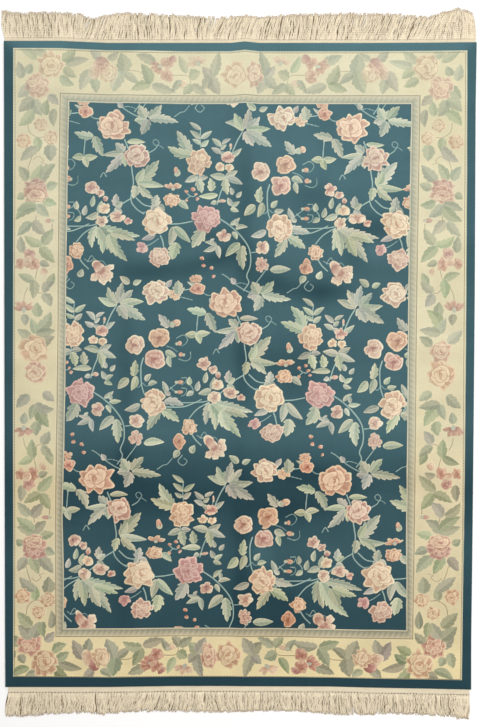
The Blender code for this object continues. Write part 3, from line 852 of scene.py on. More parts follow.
END_BLOOMS = (
    Bloom("rose", -73.4, 5.5, 10.1, 10.7, "line_peach", 60),
    Bloom("peony", -78.7, 13.6, 10.3, 10.1, "line_pink", 230),
    Bloom("petal", -53.9, 5.3, 5.8, 6.6, "line_mauve", 120),
    Bloom("petal", -56.7, 7.8, 4.3, 5.8, "pale_pink", 190),
    Bloom("rose", -51.2, 8.0, 7.4, 7.8, "line_cream", 20),
    Bloom("fan", -32.5, 5.6, 6.2, 5.1, "line_red", 160),
    Bloom("blossom", -28.4, 3.9, 5.6, 5.6, "line_red", 20),
    Bloom("petal", -26.1, 2.3, 3.5, 3.5, "line_mauve", 40),
    Bloom("blossom", -28.3, 9.0, 5.8, 5.6, "line_red", 50),
    Bloom("bud", -22.2, 11.7, 4.3, 3.1, "pale_pink", 20),
    Bloom("fan", -17.0, 2.7, 6.8, 4.9, "pale_pink", 250),
)
# The pair of roses in the middle of an end band; they are turned end for end in the near band
END_PAIR = (
    Bloom("rose", -2.0, 8.4, 10.1, 10.1, "line_peach", 40),
    Bloom("rose", 5.8, 8.4, 6.4, 10.1, "line_pink", 250),
)

# The border's side bands: x inwards from the border's outer line and y along the rug. This is the far
# half of the left band; the others are turned from it.
SIDE_LEAVES = (
    Leaf(6.9, 103.0, 1.2, 97.9, 4.3, "grey"),
    Leaf(6.9, 102.6, 10.2, 96.4, 4.1, "grey"),
    Leaf(11.4, 96.4, 12.3, 102.6, 3.1, "green"),
    Leaf(12.3, 104.2, 16.2, 100.3, 3.1, "mauve"),
    Leaf(14.7, 99.1, 14.7, 92.1, 2.7, "grey"),
    Leaf(6.9, 98.3, 1.1, 92.5, 3.9, "green"),
    Leaf(8.1, 88.2, 8.6, 82.4, 2.9, "green"),
    Leaf(13.5, 85.5, 13.7, 78.9, 4.5, "grey"),
    Leaf(8.4, 84.3, 2.0, 78.9, 3.7, "mauve"),
    Leaf(4.6, 71.5, 1.1, 76.9, 3.5, "grey"),
    Leaf(6.1, 71.5, 9.8, 78.1, 3.5, "green"),
    Leaf(10.0, 71.1, 15.8, 77.7, 4.1, "grey"),
    Leaf(3.4, 66.4, 0.5, 64.4, 2.5, "green"),
    Leaf(12.0, 68.3, 16.6, 70.3, 2.9, "grey"),
    Leaf(10.4, 63.3, 16.2, 62.1, 3.1, "green"),
    Leaf(8.1, 62.5, 0.5, 59.8, 3.5, "grey"),
    Leaf(8.1, 62.1, 13.1, 57.4, 3.5, "grey"),
    Leaf(8.1, 61.3, 0.5, 55.9, 3.9, "green"),
    Leaf(6.9, 55.9, 11.6, 50.4, 3.7, "mauve"),
    Leaf(6.1, 55.5, 0.9, 50.0, 3.3, "grey"),
    Leaf(10.6, 46.5, 14.7, 52.8, 3.7, "green"),
    Leaf(10.4, 46.5, 3.6, 50.4, 3.3, "green"),
    Leaf(2.6, 43.4, 2.0, 50.0, 3.1, "grey"),
    Leaf(9.6, 45.8, 15.5, 39.5, 3.7, "green"),
    Leaf(9.6, 39.9, 13.5, 38.4, 2.3, "grey"),
    Leaf(7.3, 32.5, 1.1, 35.2, 2.7, "green"),
    Leaf(13.1, 30.6, 15.3, 35.6, 2.7, "green"),
    Leaf(7.3, 32.9, 6.9, 25.5, 3.5, "green"),
    Leaf(10.8, 28.2, 15.5, 32.5, 3.1, "grey"),
    Leaf(10.8, 27.5, 13.9, 22.4, 3.5, "mauve"),
    Leaf(3.4, 19.7, 4.0, 15.0, 2.7, "grey"),
    Leaf(9.2, 18.5, 8.6, 24.3, 3.7, "green"),
    Leaf(8.4, 13.0, 13.7, 20.8, 4.3, "green"),
    Leaf(8.1, 11.9, 6.1, 18.1, 2.7, "grey"),
    Leaf(8.1, 11.9, 15.8, 13.4, 3.5, "grey"),
    Leaf(5.7, 8.4, 0.5, 13.4, 3.7, "grey"),
    Leaf(11.2, 7.2, 15.8, 10.7, 3.3, "grey"),
)
SIDE_STEMS = (
    Stem(0.40, ((4.6, 93.7), (5.3, 90.3), (8.1, 88.2), (10.8, 88.2))),
    Stem(0.40, ((6.5, 81.2), (5.3, 77.7), (4.6, 75.0))),
    Stem(0.30, ((6.9, 79.6), (8.8, 80.8), (10.8, 79.2), (10.0, 78.5), (12.0, 77.7))),
    Stem(0.40, ((8.1, 57.8), (7.7, 54.7))),
    Stem(0.40, ((14.3, 54.7), (14.3, 51.6))),
    Stem(0.40, ((8.6, 36.8), (7.7, 32.9))),
    Stem(0.40, ((8.1, 29.4), (9.2, 27.8), (10.8, 27.8))),
    Stem(0.40, ((4.9, 29.8), (3.8, 27.5), (3.4, 25.1))),
)
SIDE_BLOOMS = (
    Bloom("rose", 9.6, 92.8, 5.6, 5.1, "line_peach", 30),
    Bloom("rose", 3.2, 86.6, 6.0, 5.8, "line_orange", 120),
    Bloom("rose", 13.7, 87.9, 6.0, 5.6, "line_peach", 200),
    Bloom("peony", 8.0, 68.6, 9.2, 8.0, "line_mauve", 90),
    Bloom("rose", 7.9, 66.0, 9.9, 6.6, "line_pink", 270),
    Bloom("bud", 13.1, 55.9, 3.9, 2.7, "line_mauve", 180),
    Bloom("blossom", 5.6, 43.0, 5.1, 5.1, "line_mauve", 20),
    Bloom("blossom", 2.0, 39.1, 4.1, 4.9, "line_red", 60),
    Bloom("blossom", 7.5, 38.9, 5.1, 5.5, "line_red", 100),
    Bloom("petal", 4.8, 39.9, 3.5, 3.9, "pale_pink", 80),
    Bloom("petal", 11.2, 36.0, 3.3, 3.3, "pale_pink", 230),
    Bloom("fan", 3.4, 22.6, 6.6, 5.3, "line_red", 90),
)
# The pair of roses in the middle of the left band; they are turned end for end in the right one
SIDE_PAIR = (
    Bloom("rose", 7.6, 5.9, 11.1, 11.1, "line_orange", 40),
    Bloom("rose", 8.1, -2.8, 8.8, 8.4, "line_pink", 250),
)
SIDE_MIDDLE = -1.75  # the line about which the side bands' near halves mirror the far ones
FAR_MIDDLE = -0.3  # the line about which the end bands' right halves mirror the left ones
NEAR_SHIFT = -2.9  # of the near band's flowers along the band
NEAR_MIDDLE_SHIFT = -3.4  # and of those near its middle, beyond that
NEAR_MIDDLE_REACH = 26.0
NEAR_PAIR_TURN = -6.4  # twice the line about which the near band's middle pair is turned
RIGHT_PAIR_TURN = 2.0
END_BAND_WIDTH = 16.4  # of the border where it was charted
SIDE_BAND_WIDTH = 16.75


# ---------------------------------------------------------------- painting

class Patch:
    """A window of the painted sheet, with each cell's distance in x and y from the window's middle."""

    def __init__(self, cells, x, y):
        self.cells = cells
        self.x = x
        self.y = y

    def paint(self, cover, colour):
        """Lays a colour over the cells; cover is 0 where it leaves them alone and 1 where it hides them."""
        self.cells += cover[..., None] * (np.asarray(colour, dtype=np.float32) - self.cells)


def blend(first, second, share):
    """A colour for each cell, from the first colour to the second."""
    first = np.asarray(first, dtype=np.float32)
    return first + np.asarray(share)[..., None] * (np.asarray(second, dtype=np.float32) - first)


# A petal in a flower's own unit circle: how far out its middle lies, its half length and half width, and how
# many waves its rim has and how deep they are. A ring repeats one, its first turned from the flower's turn.
Petal = namedtuple("Petal", "distance long wide waves depth")
Ring = namedtuple("Ring", "count lean petal")
ROSE_OUTER = (Ring(8, 0.0, Petal(0.62, 0.42, 0.38, 4, 0.13)),)
ROSE_INNER = (
    Ring(4, 0.5, Petal(0.34, 0.40, 0.46, 3, 0.10)),
    Ring(1, 0.4, Petal(0.04, 0.30, 0.38, 3, 0.10)),
    Ring(1, 2.6, Petal(0.14, 0.22, 0.30, 2, 0.08)),
)
PEONY_OUTER = (Ring(7, 0.0, Petal(0.58, 0.44, 0.40, 5, 0.12)),)
PEONY_INNER = (
    Ring(5, 0.45, Petal(0.34, 0.36, 0.32, 4, 0.11)),
    Ring(3, 0.2, Petal(0.14, 0.28, 0.22, 3, 0.10)),
)
POPPY_FOLD = Petal(0.24, 0.34, 0.40, 3, 0.07)
POPPY = (
    Ring(4, 0.0, Petal(0.46, 0.54, 0.62, 4, 0.08)),
    Ring(1, -0.9, POPPY_FOLD),
    Ring(1, 0.9, POPPY_FOLD),
)
ROSETTE = (
    Ring(8, 0.0, Petal(0.68, 0.32, 0.30, 2, 0.05)),
    Ring(5, 0.3, Petal(0.36, 0.30, 0.29, 2, 0.05)),
    Ring(1, 0.0, Petal(0.0, 0.22, 0.22, 2, 0.05)),
)
BERRY_LOBE = Petal(0.22, 0.62, 0.48, 2, 0.08)
BERRY = (Ring(1, -0.6, BERRY_LOBE), Ring(1, 0.6, BERRY_LOBE))
LOOSE_PETAL = (
    Ring(1, 0.0, Petal(0.0, 0.95, 0.90, 3, 0.08)),
    Ring(1, 0.0, Petal(0.25, 0.55, 0.55, 3, 0.06)),
)
FAN_PETAL = Petal(0.78, 0.60, 0.36, 4, 0.08)
FAN_LEANS = (-1.05, 1.05, -0.55, 0.55, 0.0)
BUD_PETAL = Petal(0.12, 0.80, 0.62, 2, 0.04)
TRUMPET_BACK = Petal(0.58, 0.42, 0.30, 2, 0.05)
TRUMPET_TUBE = Petal(-0.15, 0.60, 0.40, 2, 0.04)
TRUMPET_LOBE = Petal(0.68, 0.31, 0.27, 5, 0.10)
TRUMPET_RIB = Petal(0.40, 0.30, 0.18, 2, 0.06)
TRUMPET_LEANS = (-1.30, 1.30, -0.66, 0.66, 0.0)
BLOSSOM_PETALS = 5
BLOSSOM_DEEPER = (0, 1, 3)  # the petals that keep the full tint
SEAM_REACH = 1.10  # of the dark seam round a petal, against the petal
PETAL_FOLDS = 1.6
PETAL_TONE = 4.0  # how far petals differ from each other, as display colours


def petal(patch, u, v, turn, shape, tint, soft, rng):
    """One petal: an oval with a wavy rim, deep at its root and light outside."""
    turn = turn + rng.normal(0, PETAL_JITTER)
    long = shape.long * (1 + rng.normal(0, PETAL_JITTER))
    wide = shape.wide * (1 + rng.normal(0, PETAL_JITTER))
    toward_u = math.cos(turn)
    toward_v = math.sin(turn)
    along = (u * toward_u + v * toward_v - shape.distance) / long
    aside = (v * toward_u - u * toward_v) / wide
    bearing = np.arctan2(aside, along + 0.15)
    rim = 1.0 + shape.depth * np.cos(shape.waves * bearing + rng.uniform(0, TURN)) * clamp(along + 0.6)
    reach = np.sqrt(along * along + aside * aside) / rim
    within = smooth((0.82 - np.sqrt(u * u + v * v)) / 0.2 + 0.5)
    patch.paint(SEAM_STRENGTH * within * smooth((SEAM_REACH - reach) / soft + 0.5), tint.seam)
    colour = blend(tint.deep, tint.middle, smooth((along + 0.85) / 0.8))
    lit = smooth((reach - 0.55) / 0.35) * smooth((along + 0.55) / 0.6) * rng.uniform(0.65, 1.0)
    colour = colour + lit[..., None] * (np.asarray(tint.light, dtype=np.float32) - colour)
    fold = np.cos((aside * PETAL_FOLDS + 0.6 * along) * math.pi + rng.uniform(0, TURN))
    shade = fold * PETAL_FOLD * smooth((1 - reach) / 0.4)
    shade = shade + BLOOM_SHADE * (0.8 * u + 0.4 * v) + rng.normal(0, PETAL_TONE)
    colour = colour + shade[..., None]
    patch.paint(smooth((1.0 - reach) / soft + 0.5), colour)


def petal_rings(patch, u, v, rings, turn, tint, soft, rng):
    for ring in rings:
        for step in range(ring.count):
            lean = turn + ring.lean + TURN * step / ring.count
            petal(patch, u, v, lean, ring.petal, tint, soft, rng)


def paler(tint):
    """The same tint one step lighter, for the petals nearer a flower's heart."""
    return Tint(tint.seam, (np.array(tint.deep) + np.array(tint.middle)) / 2,
                (np.array(tint.middle) + 2 * np.array(tint.light)) / 3, tint.light)


def richer(tint):
    """The same tint one step deeper but for its light rims, for a flower's outer petals."""
    deep = (np.array(tint.seam) + np.array(tint.deep)) / 2
    return Tint(tint.seam, deep, (np.array(tint.deep) + np.array(tint.middle)) / 2, tint.light)


def paint_rose(patch, u, v, tint, turn, soft, rng):
    """Rings of broad petals round a curled heart that sits off the middle."""
    petal_rings(patch, u, v, ROSE_OUTER, turn, richer(tint), soft, rng)
    heart_u = u - 0.10 * math.cos(turn)
    heart_v = v - 0.10 * math.sin(turn)
    tint = paler(tint)
    patch.paint(smooth((0.62 - np.sqrt(heart_u ** 2 + heart_v ** 2)) / soft + 0.5), tint.middle)
    petal_rings(patch, heart_u, heart_v, ROSE_INNER, turn, tint, soft, rng)
    swirl = np.sqrt(heart_u ** 2 + heart_v ** 2)
    bearing = np.arctan2(heart_v, heart_u) - turn
    curl = smooth((0.045 - np.abs(swirl - 0.13 - 0.06 * np.cos(bearing + 0.8))) / (soft * 0.6) + 0.5)
    patch.paint(0.6 * curl * smooth(0.6 - np.cos(bearing)), tint.seam)


def paint_peony(patch, u, v, tint, turn, soft, rng):
    """A loose double flower: jagged outer petals and narrow inner ones with light streaks."""
    petal_rings(patch, u, v, PEONY_OUTER, turn, richer(tint), soft, rng)
    petal_rings(patch, u, v, PEONY_INNER, turn, tint, soft, rng)
    for step in range(4):
        lean = turn + (step - 1.5) * 0.7 + rng.normal(0, 0.15)
        along = u * math.cos(lean) + v * math.sin(lean)
        aside = v * math.cos(lean) - u * math.sin(lean)
        streak = smooth((0.07 - np.abs(aside)) / (soft * 0.7) + 0.5)
        streak = streak * smooth((0.34 - np.abs(along - 0.32)) / 0.2)
        patch.paint(0.75 * streak, tint.light)


def paint_blossom(patch, u, v, tint, turn, soft, rng):
    """A small open flower of five uneven petals, some paler, with a deep eye off its middle."""
    for step in range(BLOSSOM_PETALS):
        shade = tint if step in BLOSSOM_DEEPER else paler(tint)
        size = rng.uniform(0.38, 0.54)
        lean = turn + (step + rng.normal(0, 0.12)) * TURN / BLOSSOM_PETALS
        shape = Petal(0.96 - size, size, size * rng.uniform(0.9, 1.15), 3, 0.10)
        petal(patch, u, v, lean, shape, shade, soft, rng)
    swirl = np.hypot(u - 0.12 * math.cos(turn), v - 0.12 * math.sin(turn))
    patch.paint(0.7 * smooth((0.24 - swirl) / soft + 0.5), tint.deep)
    patch.paint(0.5 * smooth((0.10 - swirl) / soft + 0.5), tint.light)


def paint_poppy(patch, u, v, tint, turn, soft, rng):
    """Four broad crumpled petals, the near two folded over the heart."""
    petal_rings(patch, u, v, POPPY, turn, tint, soft, rng)
    heart = np.sqrt((u / 0.22) ** 2 + (v / 0.14) ** 2)
    patch.paint(0.6 * smooth((1 - heart) / (soft * 3) + 0.5), tint.seam)


def paint_rosette(patch, u, v, tint, turn, soft, rng):
    """A tight pompom of little petals."""
    petal_rings(patch, u, v, ROSETTE, turn, tint, soft, rng)


def paint_fan(patch, u, v, tint, turn, soft, rng):
    """A flower seen from the side: petals spread to one side of their green cup."""
    base_u = u + 0.55 * math.cos(turn)
    base_v = v + 0.55 * math.sin(turn)
    for lean in FAN_LEANS:
        petal(patch, base_u, base_v, turn + lean, FAN_PETAL, tint, soft, rng)
    cup = np.sqrt(((base_u * math.cos(turn) + base_v * math.sin(turn)) / 0.42) ** 2
                  + ((base_v * math.cos(turn) - base_u * math.sin(turn)) / 0.26) ** 2)
    patch.paint(smooth((1 - cup) / (soft * 3) + 0.5), LEAF_TINTS["grey"].light)


def paint_bud(patch, u, v, tint, turn, soft, rng):
    """A closed bud in its green cup, its point towards the turn."""
    along = u * math.cos(turn) + v * math.sin(turn)
    aside = v * math.cos(turn) - u * math.sin(turn)
    petal(patch, u, v, turn, BUD_PETAL, tint, soft, rng)
    fold = smooth((0.10 - np.abs(aside - 0.10)) / soft + 0.5)
    fold = fold * smooth((along + 0.3) / 0.3) * smooth((0.75 - along) / 0.3)
    patch.paint(0.6 * fold, tint.light)
    cup = np.sqrt(((along + 0.62) / 0.46) ** 2 + (aside / (0.50 - 0.25 * clamp(along + 0.9))) ** 2)
    patch.paint(smooth((1 - cup) / (soft * 2) + 0.5), LEAF_TINTS["sage"].light)


def paint_berry(patch, u, v, tint, turn, soft, rng):
    """A tiny bud of two lobes."""
    petal_rings(patch, u, v, BERRY, turn, tint, soft, rng)


def paint_petal(patch, u, v, tint, turn, soft, rng):
    """A loose petal with a smaller one on it."""
    petal_rings(patch, u, v, LOOSE_PETAL, turn, tint, soft, rng)


def paint_trumpet(patch, u, v, tint, turn, soft, rng):
    """A flower seen three-quarters on: a rosy tube behind and pale ragged lobes in front."""
    tube = TINTS["pink_cream"]
    petal(patch, u, v, turn + math.pi, TRUMPET_BACK, tube, soft, rng)
    petal(patch, u, v, turn, TRUMPET_TUBE, tube, soft, rng)
    for lean in TRUMPET_LEANS:
        petal(patch, u, v, turn + lean, TRUMPET_LOBE, paler(tint), soft, rng)
        petal(patch, u, v, turn + lean, TRUMPET_RIB, tube, soft, rng)
    along = u * math.cos(turn) + v * math.sin(turn)
    aside = v * math.cos(turn) - u * math.sin(turn)
    throat = np.sqrt(((along - 0.05) / 0.17) ** 2 + (aside / 0.24) ** 2)
    patch.paint(0.45 * smooth((1 - throat) / (soft * 3) + 0.5), tube.deep)


def paint_hole(patch, u, v, tint, turn, soft, rng):
    """A gap in a leaf or flower where the ground shows; it takes what every painter takes."""
    swirl = np.sqrt(u * u + v * v)
    patch.paint(smooth((1 - swirl) / soft + 0.5), TEAL)


BLOOM_PAINTERS = {
    "rose": paint_rose,
    "peony": paint_peony,
    "blossom": paint_blossom,
    "poppy": paint_poppy,
    "rosette": paint_rosette,
    "fan": paint_fan,
    "bud": paint_bud,
    "berry": paint_berry,
    "petal": paint_petal,
    "trumpet": paint_trumpet,
    "hole": paint_hole,
}


class Design:
    """The painted design: a sheet of cells in chart centimetres, holding display colours from 0 to 255."""

    def __init__(self):
        columns = round(2 * CHART_HALF_X / CELL) + 1
        rows = round(2 * CHART_HALF_Y / CELL) + 1
        self.x = np.linspace(-CHART_HALF_X, CHART_HALF_X, columns, dtype=np.float32)
        self.y = np.linspace(-CHART_HALF_Y, CHART_HALF_Y, rows, dtype=np.float32)
        self.cells = np.zeros((rows, columns, 3), dtype=np.float32)
        self.rng = np.random.default_rng(DESIGN_SEED)

    def patch(self, x, y, reach_x, reach_y, sheet=None):
        """The window of the sheet round a place, or None where it lies off the sheet."""
        sheet = self.cells if sheet is None else sheet
        left = max(0, math.floor((x - reach_x + CHART_HALF_X) / CELL))
        right = min(len(self.x), math.ceil((x + reach_x + CHART_HALF_X) / CELL) + 1)
        low = max(0, math.floor((y - reach_y + CHART_HALF_Y) / CELL))
        high = min(len(self.y), math.ceil((y + reach_y + CHART_HALF_Y) / CELL) + 1)
        if left >= right or low >= high:
            return None
        cells = sheet[low:high, left:right]
        return Patch(cells, self.x[None, left:right] - x, self.y[low:high, None] - y)

    # motifs, each with a move that turns charted places into places on the sheet

    def bloom(self, bloom, move, strength=1.0):
        x, y = move(bloom.x, bloom.y)
        patch = self.patch(x, y, bloom.wide * BLOOM_WINDOW, bloom.high * BLOOM_WINDOW)
        if patch is None:
            return
        ahead_x, ahead_y = move(
            bloom.x + math.cos(math.radians(bloom.turn)), bloom.y + math.sin(math.radians(bloom.turn))
        )
        turn = math.atan2(ahead_y - y, ahead_x - x)
        u = patch.x / (bloom.wide / 2) + 0 * patch.y
        v = patch.y / (bloom.high / 2) + 0 * patch.x
        soft = 4 * EDGE_SOFTNESS / (bloom.wide + bloom.high)
        ground = patch.cells.copy()
        BLOOM_PAINTERS[bloom.kind](patch, u, v, TINTS[bloom.tint], turn, soft, self.rng)
        patch.cells += (1 - strength) * (ground - patch.cells)

    def leaf(self, leaf, move, leafage, strength=1.0):
        """A pointed leaf, toothed if it is broad, with a light rib and veins and one side darker."""
        x0, y0 = move(leaf.x, leaf.y)
        x1, y1 = move(leaf.tip_x, leaf.tip_y)
        length = math.hypot(x1 - x0, y1 - y0)
        reach = length / 2 + leaf.wide / 2 + 1
        patch = self.patch((x0 + x1) / 2, (y0 + y1) / 2, reach, reach)
        if patch is None:
            return
        tint = leafage.tints[leaf.tint]
        toward_x = (x1 - x0) / length
        toward_y = (y1 - y0) / length
        along = (patch.x * toward_x + patch.y * toward_y) / length + 0.5
        aside = patch.y * toward_x - patch.x * toward_y
        bend = self.rng.normal(0, LEAF_BEND) * length
        aside = aside - bend * np.sin(np.pi * clamp(along)) - LEAF_HOOK * bend * clamp(along) ** 3
        swell = clamp(np.sin(np.pi * clamp(along) ** LEAF_BULGE)) ** LEAF_ROUNDNESS
        half = leaf.wide * leafage.fullness / 2 * swell
        side = np.sign(aside)
        if leaf.wide >= TOOTHED_FROM:
            teeth = max(3, round(length / TOOTH_LENGTH))
            saw = (along * teeth + TOOTH_STAGGER * side + self.rng.uniform(0, 1)) % 1.0
            half = half * (1.0 - leafage.teeth * (1.0 - saw) ** TOOTH_CURVE * smooth(along / 0.25))
        ends = smooth((0.5 - np.abs(along - 0.5)) * length / EDGE_SOFTNESS + 0.5)
        depth = half - np.abs(aside)
        cover = smooth(depth / EDGE_SOFTNESS + 0.5) * ends
        lit_side = self.rng.choice((-1, 1))
        colour = blend(tint.dark, tint.light, smooth(aside * lit_side / LEAF_TILT + 0.5))
        edge = smooth(1 - depth / 0.5) * (0.35 + 0.45 * smooth(aside * lit_side / 0.4 + 0.5))
        colour = colour + edge[..., None] * (np.array(tint.rim, np.float32) - colour)
        vein = np.cos((along * length - np.abs(aside) * VEIN_SLANT) * TURN / VEIN_SPACING)
        veins = LEAF_VEINS if leaf.wide > VEINED_FROM else 0.0
        veined = smooth((vein - 0.3) / 0.7) * smooth(depth / 0.4) * veins
        colour = colour + veined[..., None] * (np.array(tint.rib, np.float32) - colour)
        colour = colour + self.rng.normal(0, LEAF_MOTTLE) + self.rng.normal(0, 0.3 * LEAF_MOTTLE, 3)
        patch.paint(cover * strength, colour)
        rib = smooth((RIB_WIDTH * (1.1 - along) - np.abs(aside)) / 0.2 + 0.5) * smooth((0.93 - along) / 0.1)
        patch.paint(0.7 * rib * cover * strength, tint.rib)

    def stem(self, stem, move, colour, strength=1.0):
        """A smooth line through its points, thinner towards its end."""
        route = smooth_route(np.array([move(*point) for point in stem.points]))
        low = route.min(axis=0)
        high = route.max(axis=0)
        middle = (low + high) / 2
        reach = (high - low) / 2 + stem.wide + 0.5
        patch = self.patch(*middle, *reach)
        if patch is None:
            return
        cover = np.zeros(patch.cells.shape[:2], dtype=np.float32)
        for number, (start, stop) in enumerate(zip(route, route[1:])):
            wide = stem.wide * STEM_WIDTH * (1 - STEM_TAPER * number / len(route))
            cover = stroke(patch, cover, start - middle, stop - middle, wide)
        patch.paint(cover * strength, colour)

    # the whole design

    def depths(self, band):
        """How far each cell lies inside a band's outer line on the left, right, near and far sides."""
        x = self.x[None, :]
        y = self.y[:, None]
        return np.stack((
            x - band_line(LEFT_LINES, band, y),
            band_line(RIGHT_LINES, band, y) - x,
            y - band_line(NEAR_LINES, band, x),
            band_line(FAR_LINES, band, x) - y,
        ))

    def paint(self):
        x, y = np.meshgrid(self.x, self.y)
        depths = {band: self.depths(band) for band in ("edging", "border", "guard", "field")}
        inside = {band: depths[band].min(axis=0) for band in depths}
        self.cells[:] = TEAL
        self.paint_field()
        ground = self.cells.copy()
        self.cells[:] = blend(CREAM, CREAM_WARM, cloud(x, y))
        self.lay(smooth((CREAM_NEAR_FROM - y) / CREAM_NEAR_REACH), CREAM_NEAR)
        self.paint_border()
        rope = guard_colours(x, y, inside["guard"], inside["field"], depths["field"].argmin(axis=0))
        self.lay(smooth(inside["guard"] / LINE_SOFTNESS + 0.5), rope)
        self.lay(smooth(inside["field"] / LINE_SOFTNESS + 0.5), ground)
        for line in LINES:
            away = np.abs(inside[line.band] - line.inwards)
            share = smooth((line.wide / 2 - away) / LINE_SOFTNESS + 0.5)
            if line.dotted:
                share *= 1 - DOT_CONTRAST + DOT_CONTRAST * np.cos((x + y) * TURN / DOT_SPACING)
            self.lay(share * line.strength, line.colour)
        outside = smooth(0.5 - inside["edging"] / LINE_SOFTNESS)
        self.lay(outside, TEAL)
        self.crisp()
        # the plain edging outside the border takes its own share of the painted sheen on each side
        weights = np.exp(-depths["edging"] / MITRE_SOFTNESS)
        strength = sum(weight * share for weight, share in zip(weights, EDGING_PAINTED_SHEEN)) / weights.sum(axis=0)
        self.paint_sheen(1 + outside * (strength - 1))

    def crisp(self):
        """Sets each colour off from its neighbours, as in close clipped pile."""
        taps = 2 * CRISP_REACH + 1
        blurred = self.cells
        for axis in (0, 1):
            shifted = [np.roll(blurred, step, axis=axis) for step in range(-CRISP_REACH, CRISP_REACH + 1)]
            blurred = sum(shifted) / taps
        self.cells = clamp(self.cells + CRISP_STRENGTH * (self.cells - blurred), 0.0, 255.0)

    def lay(self, cover, colour):
        """Lays a colour, or a sheet of colours, over the whole sheet."""
        self.cells += cover[..., None] * (np.asarray(colour, dtype=np.float32) - self.cells)

    def paint_sheen(self, strength):
        """Adds painted sheen where the pile lies towards the light, and the marks of painted shade and
        highlight.
        """
        sheen_along = np.interp(self.y, [painted_pile_light.y for painted_pile_light in PAINTED_SHEEN_ALONG], [painted_pile_light.share for painted_pile_light in PAINTED_SHEEN_ALONG])
        bloom = np.repeat(sheen_along[:, None], len(self.x), axis=1).astype(np.float32)
        for light_mark in PAINTED_LIGHT_MARKS:
            reach = PAINTED_MARK_REACH * max(light_mark.long, light_mark.wide)
            patch = self.patch(light_mark.x, light_mark.y, reach, reach, bloom)
            toward_x = math.cos(math.radians(light_mark.turn))
            toward_y = math.sin(math.radians(light_mark.turn))
            along = (patch.x * toward_x + patch.y * toward_y) / light_mark.long
            aside = (patch.y * toward_x - patch.x * toward_y) / light_mark.wide
            # each mark adds painted shade or painted highlight to the sheen's strength
            patch.cells += light_mark.share * np.exp(-0.5 * (along * along + aside * aside))
        bloom = clamp(bloom * strength, 0.0, 1.4)
        # painted sheen: the veil's colour added to the design's own, in linear light
        lit = linear(self.cells) + bloom[..., None] * np.array(PAINTED_SHEEN_COLOUR, dtype=np.float32)
        self.cells = display(lit)

    def paint_field(self):
        for row in FIELD_ROWS:
            for step in range(-2, 4):
                peony_x = row.x + step * PERIOD
                peony_y = row.y - step * row.drop
                if abs(peony_x) < CHART_HALF_X + PERIOD:
                    self.paint_repeat(lambda x, y: (peony_x + x, peony_y + y))

    def paint_repeat(self, move):
        for stem in FIELD_STEMS:
            self.stem(stem, move, STEM_COLOUR)
        for leaf in FIELD_LEAVES:
            self.leaf(leaf, move, FIELD_LEAFAGE)
        for bloom in FIELD_BLOOMS:
            self.bloom(bloom, move)

    def paint_border(self):
        for move in END_MOVES:
            self.paint_group(END_STEMS, END_LEAVES, END_BLOOMS, move)
        for move in SIDE_MOVES:
            self.paint_group(SIDE_STEMS, SIDE_LEAVES, SIDE_BLOOMS, move)
        for move in END_PAIR_MOVES:
            self.paint_group((), (), END_PAIR, move)
        for move in SIDE_PAIR_MOVES:
            self.paint_group((), (), SIDE_PAIR, move)

    def paint_group(self, stems, leaves, blooms, move):
        for stem in stems:
            self.stem(stem, move, BORDER_STEM_COLOUR, border_strength(move(*stem.points[0])[1]))
        for leaf in leaves:
            self.leaf(leaf, move, BORDER_LEAFAGE, border_strength(move(leaf.x, leaf.y)[1]))
        for bloom in blooms:
            self.bloom(bloom, move, border_strength(move(bloom.x, bloom.y)[1]))

    def corner_colours(self, chart):
        """Linear colours for the four corners of each face of a grid whose points are at these places."""
        corners = np.stack((chart[:-1, :-1], chart[:-1, 1:], chart[1:, 1:], chart[1:, :-1]), axis=-2)
        middle = corners.mean(axis=-2, keepdims=True)
        return linear(self.at(middle + (corners - middle) * CORNER_REACH)) * DYE_STRENGTH

    def at(self, chart):
        """Display colours at chart places, blended between cells."""
        column = clamp((chart[..., 0] + CHART_HALF_X) / CELL, 0, len(self.x) - 1.001)
        row = clamp((chart[..., 1] + CHART_HALF_Y) / CELL, 0, len(self.y) - 1.001)
        left = column.astype(int)
        low = row.astype(int)
        right_share = (column - left)[..., None]
        high_share = (row - low)[..., None]
        lower = self.cells[low, left] * (1 - right_share) + self.cells[low, left + 1] * right_share
        upper = self.cells[low + 1, left] * (1 - right_share) + self.cells[low + 1, left + 1] * right_share
        return lower * (1 - high_share) + upper * high_share


def smooth_route(points):
    """A smooth curve through the points."""
    padded = np.concatenate((2 * points[:1] - points[1:2], points, 2 * points[-1:] - points[-2:-1]))
    share = np.linspace(0, 1, ROUTE_STEPS, endpoint=False)[:, None]
    pieces = []
    for before, start, stop, after in zip(padded, padded[1:], padded[2:], padded[3:]):
        pieces.append(
            0.5 * (2 * start + (stop - before) * share
                   + (2 * before - 5 * start + 4 * stop - after) * share ** 2
                   + (3 * start - before - 3 * stop + after) * share ** 3)
        )
    return np.concatenate((*pieces, points[-1:]))


def stroke(patch, cover, start, stop, wide):
    """The cover of a line with what one more straight, round-ended piece of it hides."""
    run = stop - start
    length = max(float(run @ run), 1e-9)
    share = clamp(((patch.x - start[0]) * run[0] + (patch.y - start[1]) * run[1]) / length)
    away = np.hypot(patch.x - start[0] - share * run[0], patch.y - start[1] - share * run[1])
    return np.maximum(cover, smooth((wide / 2 - away) / EDGE_SOFTNESS + 0.5))


def border_strength(y):
    """How strongly the border's motifs stand out along the rug."""
    return np.interp(y, [fade.y for fade in BORDER_FADE], [fade.strength for fade in BORDER_FADE])


def band_line(lines, band, along):
    """Where a band's line on one side runs at places along it."""
    places = [station.along for station in lines]
    return np.interp(along, places, [getattr(station, band) for station in lines])


def cloud(x, y):
    """Slow, uneven patches between 0 and 1."""
    total = sum(
        np.sin(x * wave.across + y * wave.along + wave.turn) for wave in CLOUDS
    )
    return smooth(0.5 + total / (2 * len(CLOUDS)))


